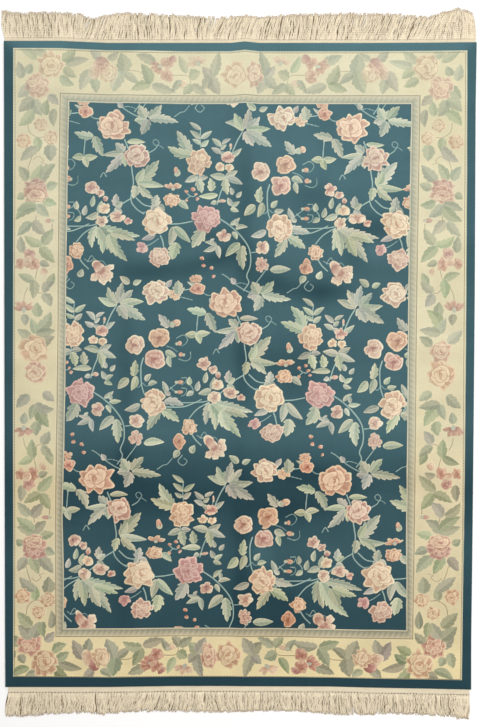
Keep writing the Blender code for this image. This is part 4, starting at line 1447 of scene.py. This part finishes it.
def guard_colours(x, y, guard, field, side):
    """The guard's rope of slanted strokes, mitred at the corners, lighter outside than inside."""
    across = clamp(guard / (guard - field))
    run = np.where(side < 2, y, x)
    lean = np.where((side == 0) | (side == 3), 1.0, -1.0)
    rope = np.cos((run + lean * across * ROPE_SLANT) * TURN / ROPE_PERIOD)
    colour = blend(GUARD_OUTER, GUARD_INNER, smooth(across * 1.4 - 0.2))
    colour = colour + (rope * ROPE_CONTRAST * np.sin(np.pi * across))[..., None]
    return blend(colour, CREAM, GUARD_FADE * (1 - border_strength(y)))


def end_move(far, right):
    """Turns a place charted on the far band's left half into one on the sheet."""

    def move(x, y):
        along = 2 * FAR_MIDDLE - x if right else x
        if not far:
            closeness = math.exp(-(x / NEAR_MIDDLE_REACH) ** 2)
            along += NEAR_SHIFT + NEAR_MIDDLE_SHIFT * closeness
        return along, across_band(FAR_LINES if far else NEAR_LINES, along, y / END_BAND_WIDTH)

    return move


def side_move(near, right):
    """Turns a place charted on the left band's far half into one on the sheet."""

    def move(x, y):
        along = 2 * SIDE_MIDDLE - y if near else y
        return across_band(RIGHT_LINES if right else LEFT_LINES, along, x / SIDE_BAND_WIDTH), along

    return move


def across_band(lines, along, share):
    """A place in the border, from its share of the way from the border's outer line to the guard's."""
    outer = band_line(lines, "border", along)
    inner = band_line(lines, "guard", along)
    return float(outer + share * (inner - outer))


END_MOVES = [end_move(far, right) for far in (True, False) for right in (False, True)]
SIDE_MOVES = [side_move(near, right) for right in (False, True) for near in (False, True)]


def near_pair_move(x, y):
    """The middle pair of the near band: the far one turned end for end."""
    return NEAR_PAIR_TURN - x, across_band(NEAR_LINES, NEAR_PAIR_TURN - x, y / END_BAND_WIDTH)


def right_pair_move(x, y):
    """The middle pair of the right band: the left one turned end for end."""
    return side_move(False, True)(x, RIGHT_PAIR_TURN - y)


END_PAIR_MOVES = (END_MOVES[0], near_pair_move)
SIDE_PAIR_MOVES = (SIDE_MOVES[0], right_pair_move)


# ---------------------------------------------------------------- meshes

def grid_mesh(name, points, corner_colours=None, chart_uv=None):
    """An object from a grid of points, rows by columns, with a colour for each corner of each face."""
    rows, columns = points.shape[:2]
    index = np.arange(rows * columns).reshape(rows, columns)
    faces = np.stack(
        (index[:-1, :-1], index[:-1, 1:], index[1:, 1:], index[1:, :-1]), axis=-1
    ).reshape(-1, 4)
    mesh = bpy.data.meshes.new(name)
    mesh.from_pydata(points.reshape(-1, 3), [], faces)
    mesh.shade_smooth()
    if corner_colours is not None:
        shades = mesh.color_attributes.new("design", "FLOAT_COLOR", "CORNER")
        four = np.ones((len(faces) * 4, 4), dtype=np.float32)
        four[:, :3] = corner_colours.reshape(-1, 3)
        shades.data.foreach_set("color", four.ravel())
    if chart_uv is not None:
        layer = mesh.uv_layers.new(name="OFBake")
        corners = chart_uv.reshape(-1, 2)[faces.ravel()]
        layer.data.foreach_set("uv", corners.astype(np.float32).ravel())
    made = bpy.data.objects.new(name, mesh)
    bpy.context.scene.collection.objects.link(made)
    return made


def rim_lines(size, spacing):
    """Grid lines over a length, as shares of it, close together over the rims, with the rim's heights."""
    insets = np.array([row.inset for row in RIM])
    heights = np.array([row.height for row in RIM])
    steps = round((size - 2 * insets[-1]) / spacing)
    inner = np.linspace(insets[-1], size - insets[-1], steps + 1)[1:-1]
    places = np.concatenate((insets, inner, size - insets[::-1]))
    tops = np.concatenate((heights, np.full(len(inner), PILE_TOP), heights[::-1]))
    return places / size, tops


def build_pile(plan, design):
    """The knotted pile: strips of one grid that follows the rug's outline, rim and creases."""
    width, length = (plan.high - plan.low)[:2]
    across, side_tops = rim_lines(width, KNOT_GROUP)
    along, end_tops = rim_lines(length, KNOT_GROUP)
    across_grid, along_grid = np.meshgrid(across, along)
    x, y = plan.place(across_grid, along_grid)
    rim = np.minimum(side_tops[None, :], end_tops[:, None])
    inside = np.minimum(
        np.minimum(across_grid, 1 - across_grid) * width, np.minimum(along_grid, 1 - along_grid) * length
    )
    z = rim + crease_height(x, y) + surface_wave(x, y) * smooth(inside / WAVE_FADE)
    points = np.stack((x, y, z), axis=-1)
    chart = chart_points(plan, x, y)
    strips = []
    cuts = np.linspace(0, len(across) - 1, STRIPS + 1).astype(int)
    for number, (start, stop) in enumerate(zip(cuts, cuts[1:])):
        part = slice(start, stop + 1)
        # the design's colours, painted sheen and painted shade marks included
        colours = design.corner_colours(chart[:, part])
        uv = np.stack((across_grid[:, part] - across[start], along_grid[:, part]), axis=-1)
        uv[..., 0] *= width / length
        strips.append(grid_mesh(f"pile_strip_{number + 1}", points[:, part], colours, uv))
    return strips


def build_backing(plan, design):
    """The cotton foundation under the pile, closed and thin, lying on the same creases."""
    width, length = (plan.high - plan.low)[:2]
    across = np.linspace(BACKING_INSET / width, 1 - BACKING_INSET / width, round(width / BACKING_GROUP))
    along = np.linspace(BACKING_INSET / length, 1 - BACKING_INSET / length, round(length / BACKING_GROUP))
    across_grid, along_grid = np.meshgrid(across, along)
    x, y = plan.place(across_grid, along_grid)
    z = crease_height(x, y) + FLOOR_GAP
    # the backing takes the design's colours, painted sheen and painted shade marks included
    colours = design.corner_colours(chart_points(plan, x, y))
    backing = grid_mesh("rug_backing", np.stack((x, y, z), axis=-1), colours)
    shell = backing.modifiers.new("thickness", "SOLIDIFY")
    shell.thickness = BACKING_THICKNESS
    shell.offset = 1.0
    return backing


def chart_points(plan, x, y):
    """Chart places, in centimetres, of world points: the design follows the rug's uneven ends."""
    near_offset = (plan.middle[1] - HALF_LENGTH - ENDS["near"].lip) - plan.near_at(x)
    far_offset = plan.far_at(x) - (plan.middle[1] + HALF_LENGTH + ENDS["far"].lip)
    near_share = smooth(1 - (y - plan.near_at(x)) / END_FADE)
    far_share = smooth(1 - (plan.far_at(x) - y) / END_FADE)
    chart_x = (x - plan.middle[0]) / CM
    chart_y = (y - plan.middle[1] + near_offset * near_share - far_offset * far_share) / CM
    return np.stack((chart_x, chart_y), axis=-1)


# ---------------------------------------------------------------- fringe

class Locks:
    """The locks of one fringe: their roots on the web's edge, and how far out their tips reach."""

    def __init__(self, plan, side):
        self.way = -1 if side == "near" else 1
        self.end = ENDS[side]
        self.line = plan.near_at if side == "near" else plan.far_at
        corners = plan.near[0] if side == "near" else plan.far[0]
        self.left, self.right = CORNERS[side, "left"], CORNERS[side, "right"]
        self.low_x = corners[0] + self.left.inset
        self.high_x = corners[-1] - self.right.inset
        half = (self.high_x - self.low_x) / LOCKS / 2
        self.roots_x = np.linspace(self.low_x + half, self.high_x - half, LOCKS)
        self.roots_y = self.line(self.roots_x) + self.way * self.end.web
        lean = LEANS[side]
        places = plan.middle[0] + CM * np.array([row.x for row in lean])
        self.tips_x = self.roots_x + CM * np.interp(self.roots_x, places, [row.right for row in lean])
        points = node_points("fringe_" + side)
        tips = points[np.abs(points[:, 2] - TIP_HEIGHT) < 1e-5]
        tips = tips[np.argsort(tips[:, 0])].reshape(LOCKS, 2, 3).mean(axis=1)
        self.tips_x = np.clip(self.tips_x, tips[0, 0], tips[-1, 0])
        self.tips_y = np.interp(self.tips_x, tips[:, 0], tips[:, 1])

    def route(self, lock, share, start):
        """The middle line of a lock, from its start beyond the web's edge to its tip."""
        bulge = (self.right.bulge * math.exp(-(LOCKS - 1 - lock) / BULGE_LOCKS)
                 - self.left.bulge * math.exp(-lock / BULGE_LOCKS))
        x = (self.roots_x[lock] + (self.tips_x[lock] - self.roots_x[lock]) * share ** LEAN_BEND
             + bulge * np.sin(np.pi * share))
        root_y = self.roots_y[lock] + self.way * start
        return x, root_y + (self.tips_y[lock] - root_y) * share


def sways(rng, count, steps):
    """How far each yarn of a fringe stands aside at each step."""
    total = np.zeros((count, steps))
    share = np.linspace(0, 1, steps)
    for sway in SWAYS:
        coarse = rng.normal(size=(count // sway.group + 2, sway.bends))
        along = np.array([np.interp(share * (sway.bends - 1), np.arange(sway.bends), row) for row in coarse])
        place = np.arange(count) / sway.group
        rows = np.arange(len(coarse))
        total += sway.reach * np.array([np.interp(place, rows, column) for column in along.T]).T
    return total * smooth(share / 0.35)


def tube_points(path, radius, sides):
    """Rings of points round a path that lies nearly level; path is steps by 3, radius is one per step."""
    along = np.gradient(path, axis=0)
    along /= np.linalg.norm(along, axis=1)[:, None]
    aside = np.stack((along[:, 1], -along[:, 0], np.zeros(len(path))), axis=1)
    aside /= np.linalg.norm(aside, axis=1)[:, None]
    above = np.cross(aside, along)
    turns = np.arange(sides) / sides * TURN + TURN / 4
    ring = np.cos(turns)[None, :, None] * aside[:, None] + np.sin(turns)[None, :, None] * above[:, None]
    return path[:, None] + ring * radius[:, None, None]


class MeshParts:
    """Many small tubes gathered into one mesh, with their places along and round each as UVs."""

    def __init__(self):
        self.points = []
        self.faces = []
        self.uvs = []
        self.count = 0

    def add_tube(self, rings, low_u, high_u):
        steps, sides = rings.shape[:2]
        index = np.arange(steps * sides).reshape(steps, sides) + self.count
        after = np.roll(index, -1, axis=1)
        quads = np.stack((index[:-1], after[:-1], after[1:], index[1:]), axis=-1).reshape(-1, 4)
        u = low_u + (high_u - low_u) * np.arange(sides + 1) / sides
        v = np.linspace(0, 1, steps)
        grid = np.stack(np.meshgrid(u, v), axis=-1)
        corners = np.stack((grid[:-1, :-1], grid[:-1, 1:], grid[1:, 1:], grid[1:, :-1]), axis=-2)
        self.points.append(rings.reshape(-1, 3))
        self.faces.extend(quads.tolist())
        self.uvs.extend(corners.reshape(-1, 2).tolist())
        for ring, where in ((index[0][::-1], 0), (index[-1], -1)):
            self.faces.append(ring.tolist())
            self.uvs.extend([grid[where, 0].tolist()] * sides)
        self.count += steps * sides

    def build(self, name):
        mesh = bpy.data.meshes.new(name)
        mesh.from_pydata(np.concatenate(self.points), [], self.faces)
        mesh.shade_smooth()
        layer = mesh.uv_layers.new(name="OFBake")
        layer.data.foreach_set("uv", np.array(self.uvs, dtype=np.float32).ravel())
        made = bpy.data.objects.new(name, mesh)
        bpy.context.scene.collection.objects.link(made)
        return made


def add_flat_tube(parts, path, half_width, height, sides, low_u, high_u):
    """A tube pressed flat, as wide as twice its half width and as high as given."""
    rings = tube_points(path, half_width, sides)
    level = path[:, None, 2]
    rings[..., 2] = (rings[..., 2] - level) * height / (2 * half_width.max()) + level
    parts.add_tube(rings, low_u, high_u)


def build_yarns(name, locks, seed):
    """The fringe's knots, one to a lock, and the twisted yarns that hang from each."""
    rng = np.random.default_rng(seed)
    parts = MeshParts()
    share = np.linspace(0, 1, YARN_STEPS)
    aside = sways(rng, LOCKS * YARNS, YARN_STEPS)
    knot = np.linspace(0, 1, KNOT_STEPS)
    tubes = LOCKS * (YARNS + 1)
    spread = np.interp(share, YARN_SPREAD_AT, YARN_SPREAD)
    for lock in range(LOCKS):
        first = lock * (YARNS + 1)
        if locks.end.knots:
            path = np.zeros((KNOT_STEPS, 3))
            path[:, 0] = locks.roots_x[lock] + rng.normal(0, KNOT_JITTER)
            path[:, 1] = locks.roots_y[lock] + locks.way * (knot - KNOT_TUCK) * KNOT_LENGTH
            path[:, 2] = KNOT_HEIGHT / 2 + FLOOR_GAP
            swell = np.sqrt(clamp(1 - (2 * knot - 1) ** 2, 0.05)) * KNOT_WIDTH / 2 * rng.uniform(0.9, 1.0)
            add_flat_tube(parts, path, swell, KNOT_HEIGHT, KNOT_SIDES, first / tubes, (first + 1) / tubes)
        middle_x, middle_y = locks.route(lock, share, locks.end.start)
        for yarn in range(YARNS):
            stray = rng.uniform() < STRAY_SHARE and CALM_LOCKS <= lock < LOCKS - CALM_LOCKS
            cross = rng.normal(0, STRAY_REACH) if stray else 0.0
            reach = 1 + rng.normal(0, YARN_RAGGED)
            path = np.zeros((YARN_STEPS, 3))
            path[:, 0] = middle_x + ((yarn + 0.5) / YARNS - 0.5) * spread + aside[lock * YARNS + yarn]
            path[:, 0] += cross * np.sin(share * np.pi * STRAY_BEND)
            path[:, 1] = middle_y[0] + (middle_y - middle_y[0]) * reach
            radius = YARN_RADIUS * np.interp(share, YARN_THICK_AT, YARN_THICK)
            layer = 1.0 if stray else rng.uniform(0, YARN_LAYERS)
            rise = YARN_RISE * layer * np.interp(share, YARN_RISE_AT, YARN_RISES)
            path[:, 2] = radius + FLOOR_GAP + DEEP_HEIGHT + rise
            column = first + 1 + yarn
            parts.add_tube(tube_points(path, radius, YARN_SIDES), column / tubes, (column + 1) / tubes)
    return parts.build(name)


def build_painted_shade_yarns(name, locks):
    """The flattened yarns underneath, coloured as painted shade, which show dark where the ones above part.
    """
    parts = MeshParts()
    share = np.linspace(0, 1, DEEP_STEPS)
    for lock in range(LOCKS):
        middle_x, middle_y = locks.route(lock, share * DEEP_REACH, -DEEP_TUCK)
        for yarn in range(DEEP_YARNS):
            path = np.zeros((DEEP_STEPS, 3))
            path[:, 0] = middle_x + ((yarn + 0.5) / DEEP_YARNS - 0.5) * YARN_SPREAD[0]
            path[:, 1] = middle_y
            path[:, 2] = DEEP_HEIGHT / 2 + FLOOR_GAP
            half = np.full(DEEP_STEPS, DEEP_WIDTH / 2)
            add_flat_tube(parts, path, half, DEEP_HEIGHT, YARN_SIDES, 0.0, 1.0)
    return parts.build(name)


def build_web(name, locks):
    """The plain-woven strip between the pile and the knots."""
    stations = np.linspace(locks.low_x, locks.high_x, WEB_STATIONS)
    wave = WEB_WAVE * np.sin(stations / WEB_LONG_WAVE)
    wave = wave + WEB_WAVE * np.sin(stations / WEB_SHORT_WAVE + 1.0)
    profile = np.array([(row.out * locks.end.web, row.height) for row in WEB_PROFILE])
    rings = np.zeros((WEB_STATIONS, len(profile), 3))
    rings[..., 0] = stations[:, None]
    depth = profile[None, :, 0] + wave[:, None] * (profile[:, 0] > locks.end.web / 2)
    rings[..., 1] = locks.line(stations)[:, None] + locks.way * depth
    rings[..., 2] = profile[None, :, 1] + FLOOR_GAP
    if locks.way > 0:
        rings = rings[::-1]
    parts = MeshParts()
    parts.add_tube(rings, 0.0, WEB_CHART)
    web = parts.build(name)
    web.data.set_sharp_from_angle(angle=math.radians(WEB_SHARP))
    return web


# ---------------------------------------------------------------- materials

class Nodes:
    """Short calls for building one material's node tree."""

    def __init__(self, name, roughness, **constants):
        self.material = bpy.data.materials.new(name)
        self.material.use_nodes = True
        self.tree = self.material.node_tree
        self.shader = self.tree.nodes["Principled BSDF"]
        self.shader.inputs["Roughness"].default_value = roughness
        self.shader.inputs["Specular IOR Level"].default_value = 0.2
        for socket, value in constants.items():
            self.shader.inputs[socket.replace("_", " ")].default_value = value

    def add(self, kind, inputs=(), **settings):
        made = self.tree.nodes.new("ShaderNode" + kind)
        for key, value in settings.items():
            setattr(made, key, value)
        for socket, value in dict(inputs).items():
            self.feed(made.inputs[socket], value)
        return made

    def feed(self, socket, value):
        if isinstance(value, bpy.types.NodeSocket):
            self.tree.links.new(value, socket)
        elif isinstance(value, bpy.types.Node):
            self.tree.links.new(value.outputs[0], socket)
        else:
            socket.default_value = value

    def place(self, scale):
        """Object coordinates in metres, scaled along each axis."""
        coordinates = self.add("TexCoord")
        return self.add("Mapping", {"Vector": coordinates.outputs["Object"], "Scale": scale})

    def math(self, operation, first, second=0.0, third=0.0):
        return self.add("Math", {0: first, 1: second, 2: third}, operation=operation)

    def ramp(self, value, low, high, to_low, to_high):
        return self.add(
            "MapRange",
            {"Value": value, "From Min": low, "From Max": high, "To Min": to_low, "To Max": to_high},
        )

    def shade(self, colour, factor):
        """A colour times a factor."""
        return self.add("VectorMath", {0: colour, "Scale": factor}, operation="SCALE")

    def mix(self, factor, first, second):
        """A vector or colour that goes from the first to the second."""
        return self.add(
            "Mix",
            {"Factor": factor, 4: first, 5: second},
            data_type="VECTOR",
        ).outputs[1]

    def bump(self, height, distance, strength=1.0):
        made = self.add("Bump", {"Height": height, "Distance": distance, "Strength": strength})
        self.feed(self.shader.inputs["Normal"], made)
        return made


def pile_material():
    """Clipped wool knots: the design's colours, uneven from knot to knot and along the rug's length,
    with slow patches of painted light and shade where the pile lies different ways.
    """
    nodes = Nodes(
        "wool_pile",
        0.9,
        Sheen_Weight=0.45,
        Sheen_Roughness=0.35,
        Sheen_Tint=(0.72, 0.88, 1.0, 1.0),
    )
    design = nodes.add("VertexColor", layer_name="design")
    place = nodes.place((430.0, 400.0, 0.0))
    knots = nodes.add("TexVoronoi", {"Vector": place, "Scale": 1.0, "Randomness": 0.55})
    tone = nodes.ramp(knots.outputs["Color"], 0.0, 1.0, 0.93, 1.07)
    dye = nodes.add("TexNoise", {"Vector": nodes.place((0.9, 11.0, 0.0)), "Scale": 1.0, "Detail": 3.0})
    abrash = nodes.ramp(dye.outputs["Fac"], 0.3, 0.7, 0.95, 1.05)
    # slow patches of painted light and shade, where the pile lies different ways
    pile_light_noise = nodes.add("TexNoise", {"Vector": nodes.place((9.0, 6.0, 0.0)), "Scale": 1.0, "Detail": 2.0})
    painted_pile_light = nodes.ramp(pile_light_noise.outputs["Fac"], 0.3, 0.7, 0.95, 1.05)
    shade = nodes.math("MULTIPLY", nodes.math("MULTIPLY", tone, abrash), painted_pile_light)
    nodes.feed(nodes.shader.inputs["Base Color"], nodes.shade(design.outputs["Color"], shade))
    fuzz = nodes.add("TexNoise", {"Vector": nodes.place((520.0, 520.0, 520.0)), "Scale": 1.0, "Detail": 2.0})
    nodes.feed(nodes.shader.inputs["Roughness"], nodes.ramp(fuzz.outputs["Fac"], 0.2, 0.8, 0.82, 0.98))
    height = nodes.math("ADD", nodes.math("MULTIPLY", knots.outputs["Distance"], -0.6), fuzz.outputs["Fac"])
    nodes.bump(height, 0.0007)
    return nodes.material


def backing_material():
    """The back of the knots, flat and ribbed, in the design's colours."""
    nodes = Nodes("knot_back", 0.95)
    design = nodes.add("VertexColor", layer_name="design")
    place = nodes.place((0.0, 1.0, 0.0))
    ribs = nodes.add("TexWave", {"Vector": place, "Scale": 95.0, "Distortion": 0.4}, bands_direction="Y")
    tone = nodes.ramp(ribs.outputs["Fac"], 0.0, 1.0, 0.75, 1.1)
    nodes.feed(nodes.shader.inputs["Base Color"], nodes.shade(design.outputs["Color"], tone))
    nodes.bump(ribs.outputs["Fac"], 0.0004)
    return nodes.material


def web_material():
    """Plain weave of undyed cotton."""
    nodes = Nodes("cotton_web", 0.9)
    place = nodes.place((1.0, 1.0, 1.0))
    warp = nodes.add("TexWave", {"Vector": place, "Scale": 130.0, "Distortion": 0.6}, bands_direction="X")
    weft = nodes.add("TexWave", {"Vector": place, "Scale": 150.0, "Distortion": 0.8}, bands_direction="Y")
    weave = nodes.math("MULTIPLY", warp.outputs["Fac"], weft.outputs["Fac"])
    cloud = nodes.add("TexNoise", {"Vector": nodes.place((25.0, 60.0, 25.0)), "Scale": 1.0, "Detail": 3.0})
    woven = nodes.ramp(weave, 0.0, 1.0, 0.86, 1.0)
    tone = nodes.math("MULTIPLY", woven, nodes.ramp(cloud.outputs["Fac"], 0.3, 0.7, 0.93, 1.04))
    nodes.feed(nodes.shader.inputs["Base Color"], nodes.shade(WEB_BASE, tone))
    nodes.bump(weave, 0.0005)
    return nodes.material


def yarn_material():
    """Plied cotton yarn: the twist runs round each yarn, and the tips are a little browner."""
    nodes = Nodes("cotton_yarn", 0.85)
    chart = nodes.add("UVMap", uv_map="OFBake")
    split = nodes.add("SeparateXYZ", {"Vector": chart})
    round_turns = nodes.math("MULTIPLY", split.outputs["X"], TURN * LOCKS * (YARNS + 1))
    along_turns = nodes.math("MULTIPLY", split.outputs["Y"], TURN * YARN_TWISTS)
    twist = nodes.math("SINE", nodes.math("ADD", round_turns, along_turns))
    column = nodes.math("FLOOR", nodes.math("MULTIPLY", split.outputs["X"], LOCKS * (YARNS + 1.0)))
    chance = nodes.add("TexWhiteNoise", {"W": column}, noise_dimensions="1D")
    each = nodes.ramp(chance.outputs["Value"], 0.0, 1.0, 0.90, 1.05)
    tone = nodes.math("MULTIPLY", nodes.ramp(twist, -1.0, 1.0, 0.84, 1.04), each)
    # browner towards the tips, in uneven patches
    tip_noise = nodes.add("TexNoise", {"Vector": nodes.place((45.0, 6.0, 6.0)), "Scale": 1.0, "Detail": 2.0})
    tip = nodes.ramp(split.outputs["Y"], 0.88, 1.0, 0.0, 1.0)
    tip_brown = nodes.math("MULTIPLY", tip, nodes.ramp(tip_noise.outputs["Fac"], 0.3, 0.7, 0.2, 1.0))
    colour = nodes.mix(tip_brown, COTTON_BASE, COTTON_TIP)
    nodes.feed(nodes.shader.inputs["Base Color"], nodes.shade(colour, tone))
    nodes.bump(twist, 0.0003)
    return nodes.material


def painted_shade_yarn_material():
    """The yarns underneath, painted dark brown as shade, mottled."""
    nodes = Nodes("cotton_painted_shade", 0.95)
    shade_mottle = nodes.add("TexNoise", {"Vector": nodes.place((60.0, 25.0, 60.0)), "Scale": 1.0, "Detail": 2.0})
    tone = nodes.ramp(shade_mottle.outputs["Fac"], 0.3, 0.7, 0.8, 1.25)
    nodes.feed(nodes.shader.inputs["Base Color"], nodes.shade(COTTON_PAINTED_SHADE, tone))
    return nodes.material


def floor_material():
    nodes = Nodes("studio_floor", 0.9)
    grain = nodes.add("TexNoise", {"Vector": nodes.place((3.0, 3.0, 3.0)), "Scale": 1.0, "Detail": 2.0})
    tone = nodes.ramp(grain, 0.0, 1.0, 0.995, 1.0)
    nodes.feed(nodes.shader.inputs["Base Color"], nodes.shade(FLOOR_BASE, tone))
    return nodes.material


# ---------------------------------------------------------------- floor, lights and camera

def build_floor():
    mesh = bpy.data.meshes.new("floor")
    reach = FLOOR_REACH
    corners = [(-reach, -reach, 0), (reach, -reach, 0), (reach, reach, 0), (-reach, reach, 0)]
    mesh.from_pydata(corners, [], [(0, 1, 2, 3)])
    floor = bpy.data.objects.new("floor", mesh)
    floor.data.materials.append(floor_material())
    bpy.context.scene.collection.objects.link(floor)


def build_lights():
    for lamp in LAMPS:
        data = bpy.data.lights.new(lamp.name, "AREA")
        data.shape = "RECTANGLE"
        data.size = lamp.wide
        data.size_y = lamp.high
        data.energy = lamp.watts
        data.color = lamp.colour
        light = bpy.data.objects.new(lamp.name, data)
        light.location = lamp.place
        light.rotation_mode = "QUATERNION"
        light.rotation_quaternion = (Vector(lamp.aim) - Vector(lamp.place)).to_track_quat("-Z", "Y")
        bpy.context.scene.collection.objects.link(light)
    world = bpy.data.worlds.new("studio")
    world.use_nodes = True
    background = world.node_tree.nodes["Background"]
    background.inputs["Color"].default_value = (*WORLD_COLOUR, 1.0)
    background.inputs["Strength"].default_value = WORLD_STRENGTH
    bpy.context.scene.world = world
    bpy.context.scene.view_settings.view_transform = "Standard"


def build_camera(plan):
    """Straight above the rug, with its near end at the foot of the picture."""
    data = bpy.data.cameras.new("camera")
    data.sensor_width = CAMERA_SENSOR
    data.lens = CAMERA_SENSOR * CAMERA_HEIGHT / VIEW_LENGTH
    data.clip_end = 100.0
    camera = bpy.data.objects.new("camera", data)
    camera.location = (plan.middle[0], plan.middle[1] + VIEW_SHIFT, CAMERA_HEIGHT)
    bpy.context.scene.collection.objects.link(camera)
    bpy.context.scene.camera = camera


# ---------------------------------------------------------------- the rug

def dress(piece, material, slot, *nodes):
    """Gives a piece its material and its body, and hides the solids it stands for. The slot is not used."""
    piece.data.materials.append(material)
    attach(piece, "root")
    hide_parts(*nodes)


def main():
    plan = Plan("rug_body")
    build_camera(plan)
    build_lights()
    build_floor()
    design = Design()
    design.paint()
    pile = pile_material()
    strips = build_pile(plan, design)
    for strip in strips:
        dress(strip, pile, "wool_pile", "rug_body")
    backing = build_backing(plan, design)
    dress(backing, backing_material(), "wool_pile", "rug_body")
    web_cloth = web_material()
    yarn = yarn_material()
    painted_shade_yarn = painted_shade_yarn_material()
    for side, seed in (("near", 11), ("far", 12)):
        node = "fringe_" + side
        locks = Locks(plan, side)
        web = build_web(node + "_web", locks)
        dress(web, web_cloth, "cotton_warp", node)
        yarns = build_yarns(node + "_yarns", locks, seed)
        dress(yarns, yarn, "cotton_warp", node)
        # the dark yarns underneath: painted shade where the ones above part
        deep = build_painted_shade_yarns(node + "_painted_shade_yarns", locks)
        dress(deep, painted_shade_yarn, "cotton_warp", node)


main()
